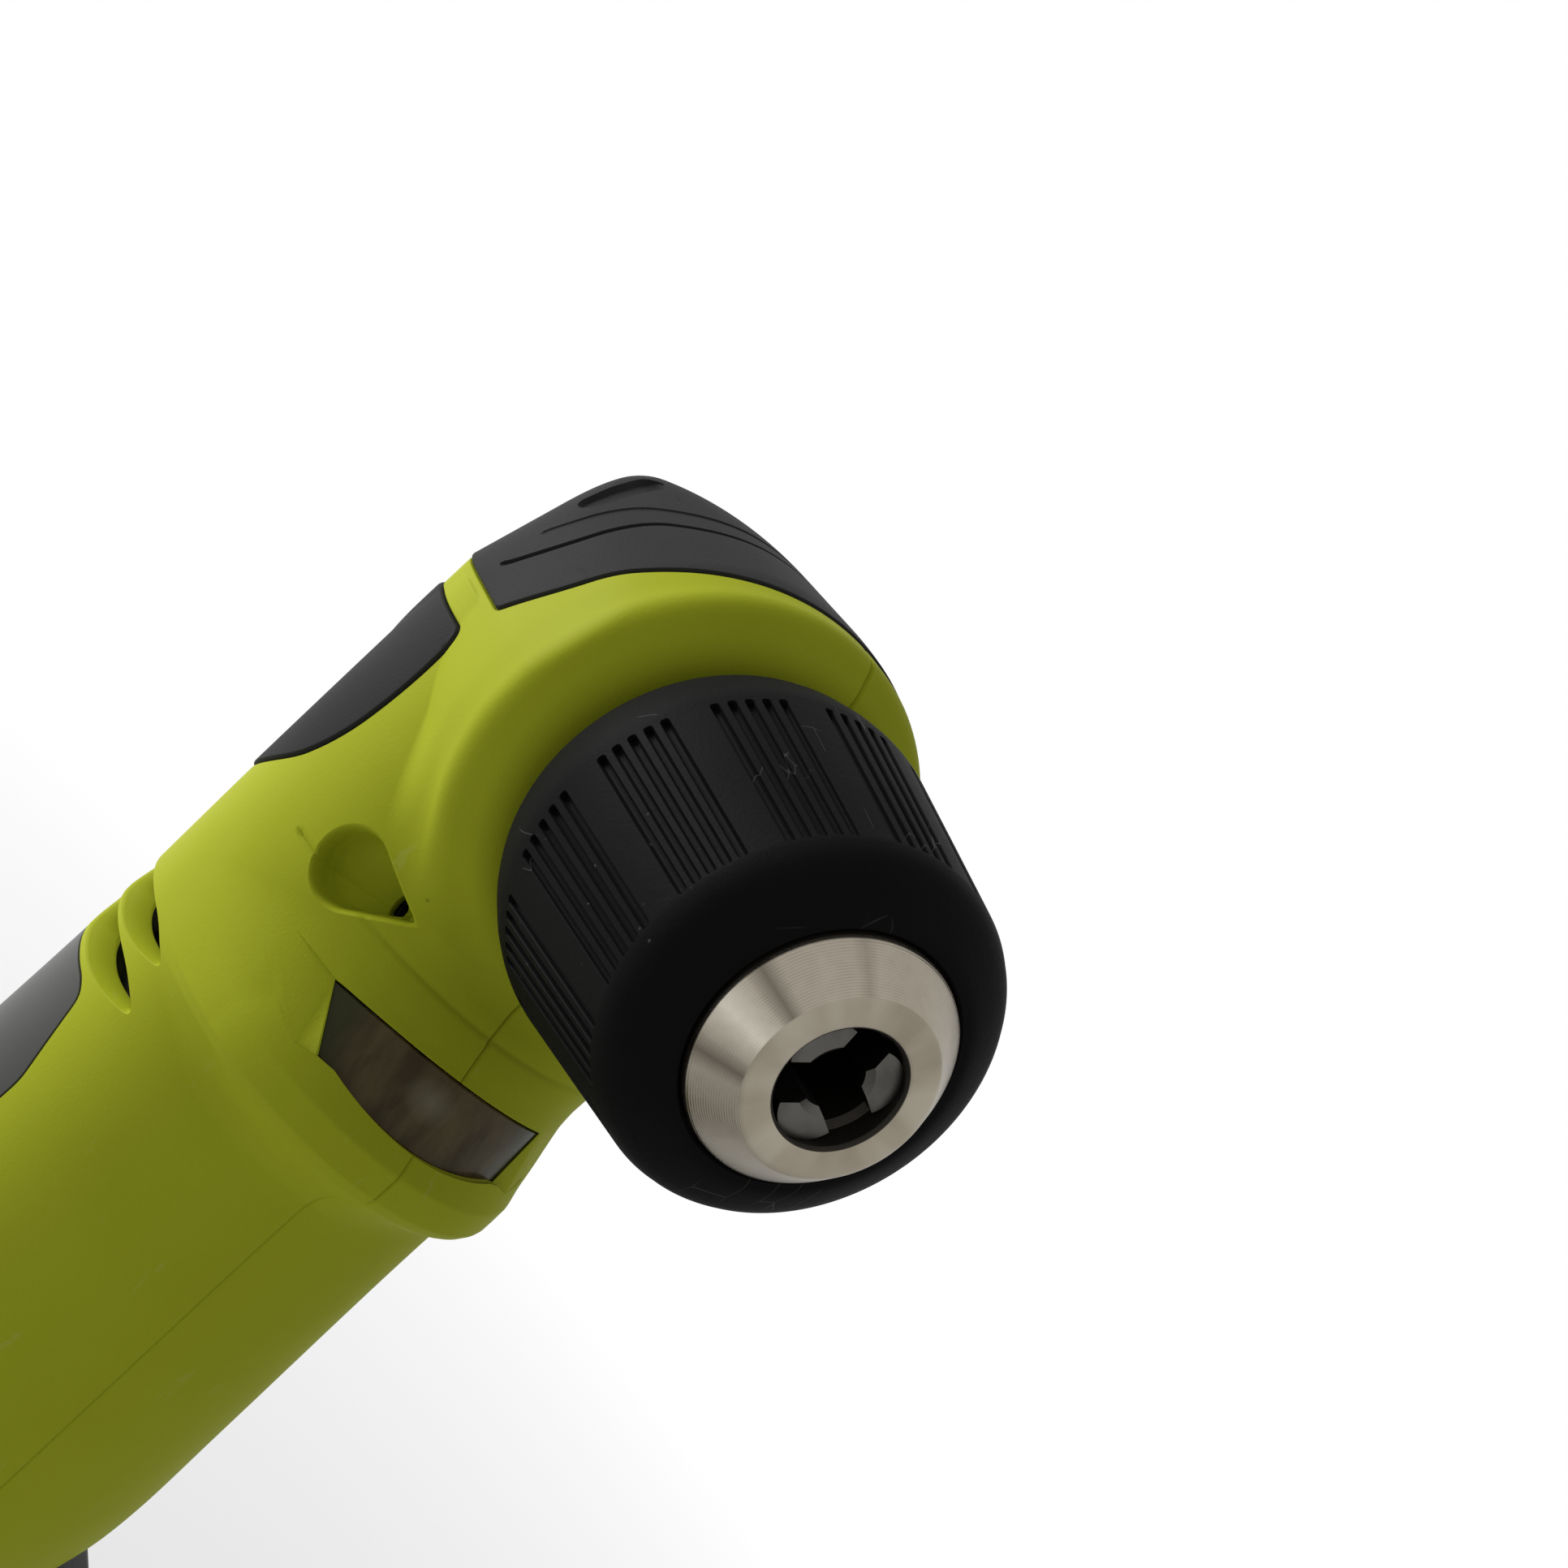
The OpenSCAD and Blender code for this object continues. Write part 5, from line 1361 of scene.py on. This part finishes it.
lid = battery_form(LID)
lid = hollowed(lid, battery_form([(22, 52, 39, 8), (24, 52, 39, 8)] + [
    (z, a, b, p) for z, a, b, p in LID[3:] if z < 37] + [(38.6, 41.7, 34.6, 3.2)], 1.3), "pack_lid")
for reach in ((-60, -33), (33, 60)):
    carve(lid, block(-10.3, 10.3, *reach, 25.7 - CHUCK_H, 35 - CHUCK_H))
stem = carve(cad_copy("pack_lid"), block(-60, 60, -60, 60, 37.6 - CHUCK_H, 110 - CHUCK_H), how="INTERSECT")
lid = add_to("battery_lid", "pack", lid, stem)
dress(lid, "pack", "black_plastic", "pack_lid")


def latch_button(name, side):
    """A battery latch: a softened button with four ridges across it."""
    edge = ((35.3, 0), (38.0, 0), (38.35, 0.1), (38.55, 0.35), (38.6, 0.7))
    button = loft([[(x, side * y, z - CHUCK_H) for x, z in rectangle(-10, 10, 26, 34.4, draw, 1.6, 5)]
                   for y, draw in edge], name, "latch")
    groove = block(-8, 8, *sorted((side * 38.15, side * 40)), -0.35 - CHUCK_H, 0.35 - CHUCK_H)
    return carve(button, ranked(groove, 4, (0, 0, 27.7), (0, 0, 32.7)))


for name, side, body in (("latch_button_left", -1, "latch_left"), ("latch_button_right", 1, "latch_right")):
    dress(latch_button(name, side), body, "latch_green", body)


# screws
def machine_screw():
    """A countersunk-looking pan head with a six-sided socket, on a plain shank."""
    screw = revolved("slot_tool", [(1.45, 0), (1.9, 0.02), (2.45, 0.2), (2.78, 0.55), (2.9, 1.0), (2.9, 2.1),
                                   (2.75, 2.3), (1.5, 2.3), (1.5, 19)], steps=48, heading=(0, 1, 0), lift=0)
    six = circle_outline(0, 0, 1.3, 6)
    return carve(screw, loft([[(x, y, z) for x, z in six] for y in (-1, 1.5)], lift=0))


marks = piece("marks", [(x, -12.4, z) for x, z in SCREWS], [], outward=False)
screw_part = machine_screw()
screws = PLACED.make("case_screws", Part=screw_part, Finish=LOOK["screw"], Marks=marks)
bpy.data.objects.remove(screw_part)
bpy.data.objects.remove(marks)
dress(screws, "housing", "screw", "shell_screws", angle=24)

for part in frame["record"]["subparts"]:
    for place in bpy.data.objects[part["node"]].material_slots:
        place.material = LOOK[SLOT_LOOK[part["material_slot"]]]


# stage and light
FLOOR = 6000
floor_corners = [(-FLOOR, -FLOOR, 0), (FLOOR, -FLOOR, 0), (FLOOR, FLOOR, 0), (-FLOOR, FLOOR, 0)]
piece("floor", floor_corners, [(0, 1, 2, 3)], "floor", lift=0, outward=False)


def softbox(name, place, aim, size, power):
    lamp = bpy.data.objects.new(name, bpy.data.lights.new(name, "AREA"))
    lamp.data.shape, lamp.data.size, lamp.data.energy = "SQUARE", size, power
    lamp.location = place
    lamp.rotation_euler = (Vector(aim) - Vector(place)).to_track_quat("-Z", "Y").to_euler()
    scene.collection.objects.link(lamp)


def studio():
    """An even pale room, white where it is seen or reflected."""
    world = bpy.data.worlds.new("studio")
    world.use_nodes = True
    room = Graph(world.node_tree)
    background = world.node_tree.nodes["Background"]
    background.inputs["Color"].default_value = (1, 1, 1, 1)
    room.put(background.inputs["Strength"], room.seen() * 0.67 + 0.33)
    return world


softbox("key", (-0.76, -0.75, 0.52), (0, 0, 0.3), 0.5, 10.8)
scene.world = studio()
scene.view_settings.view_transform = "Standard"
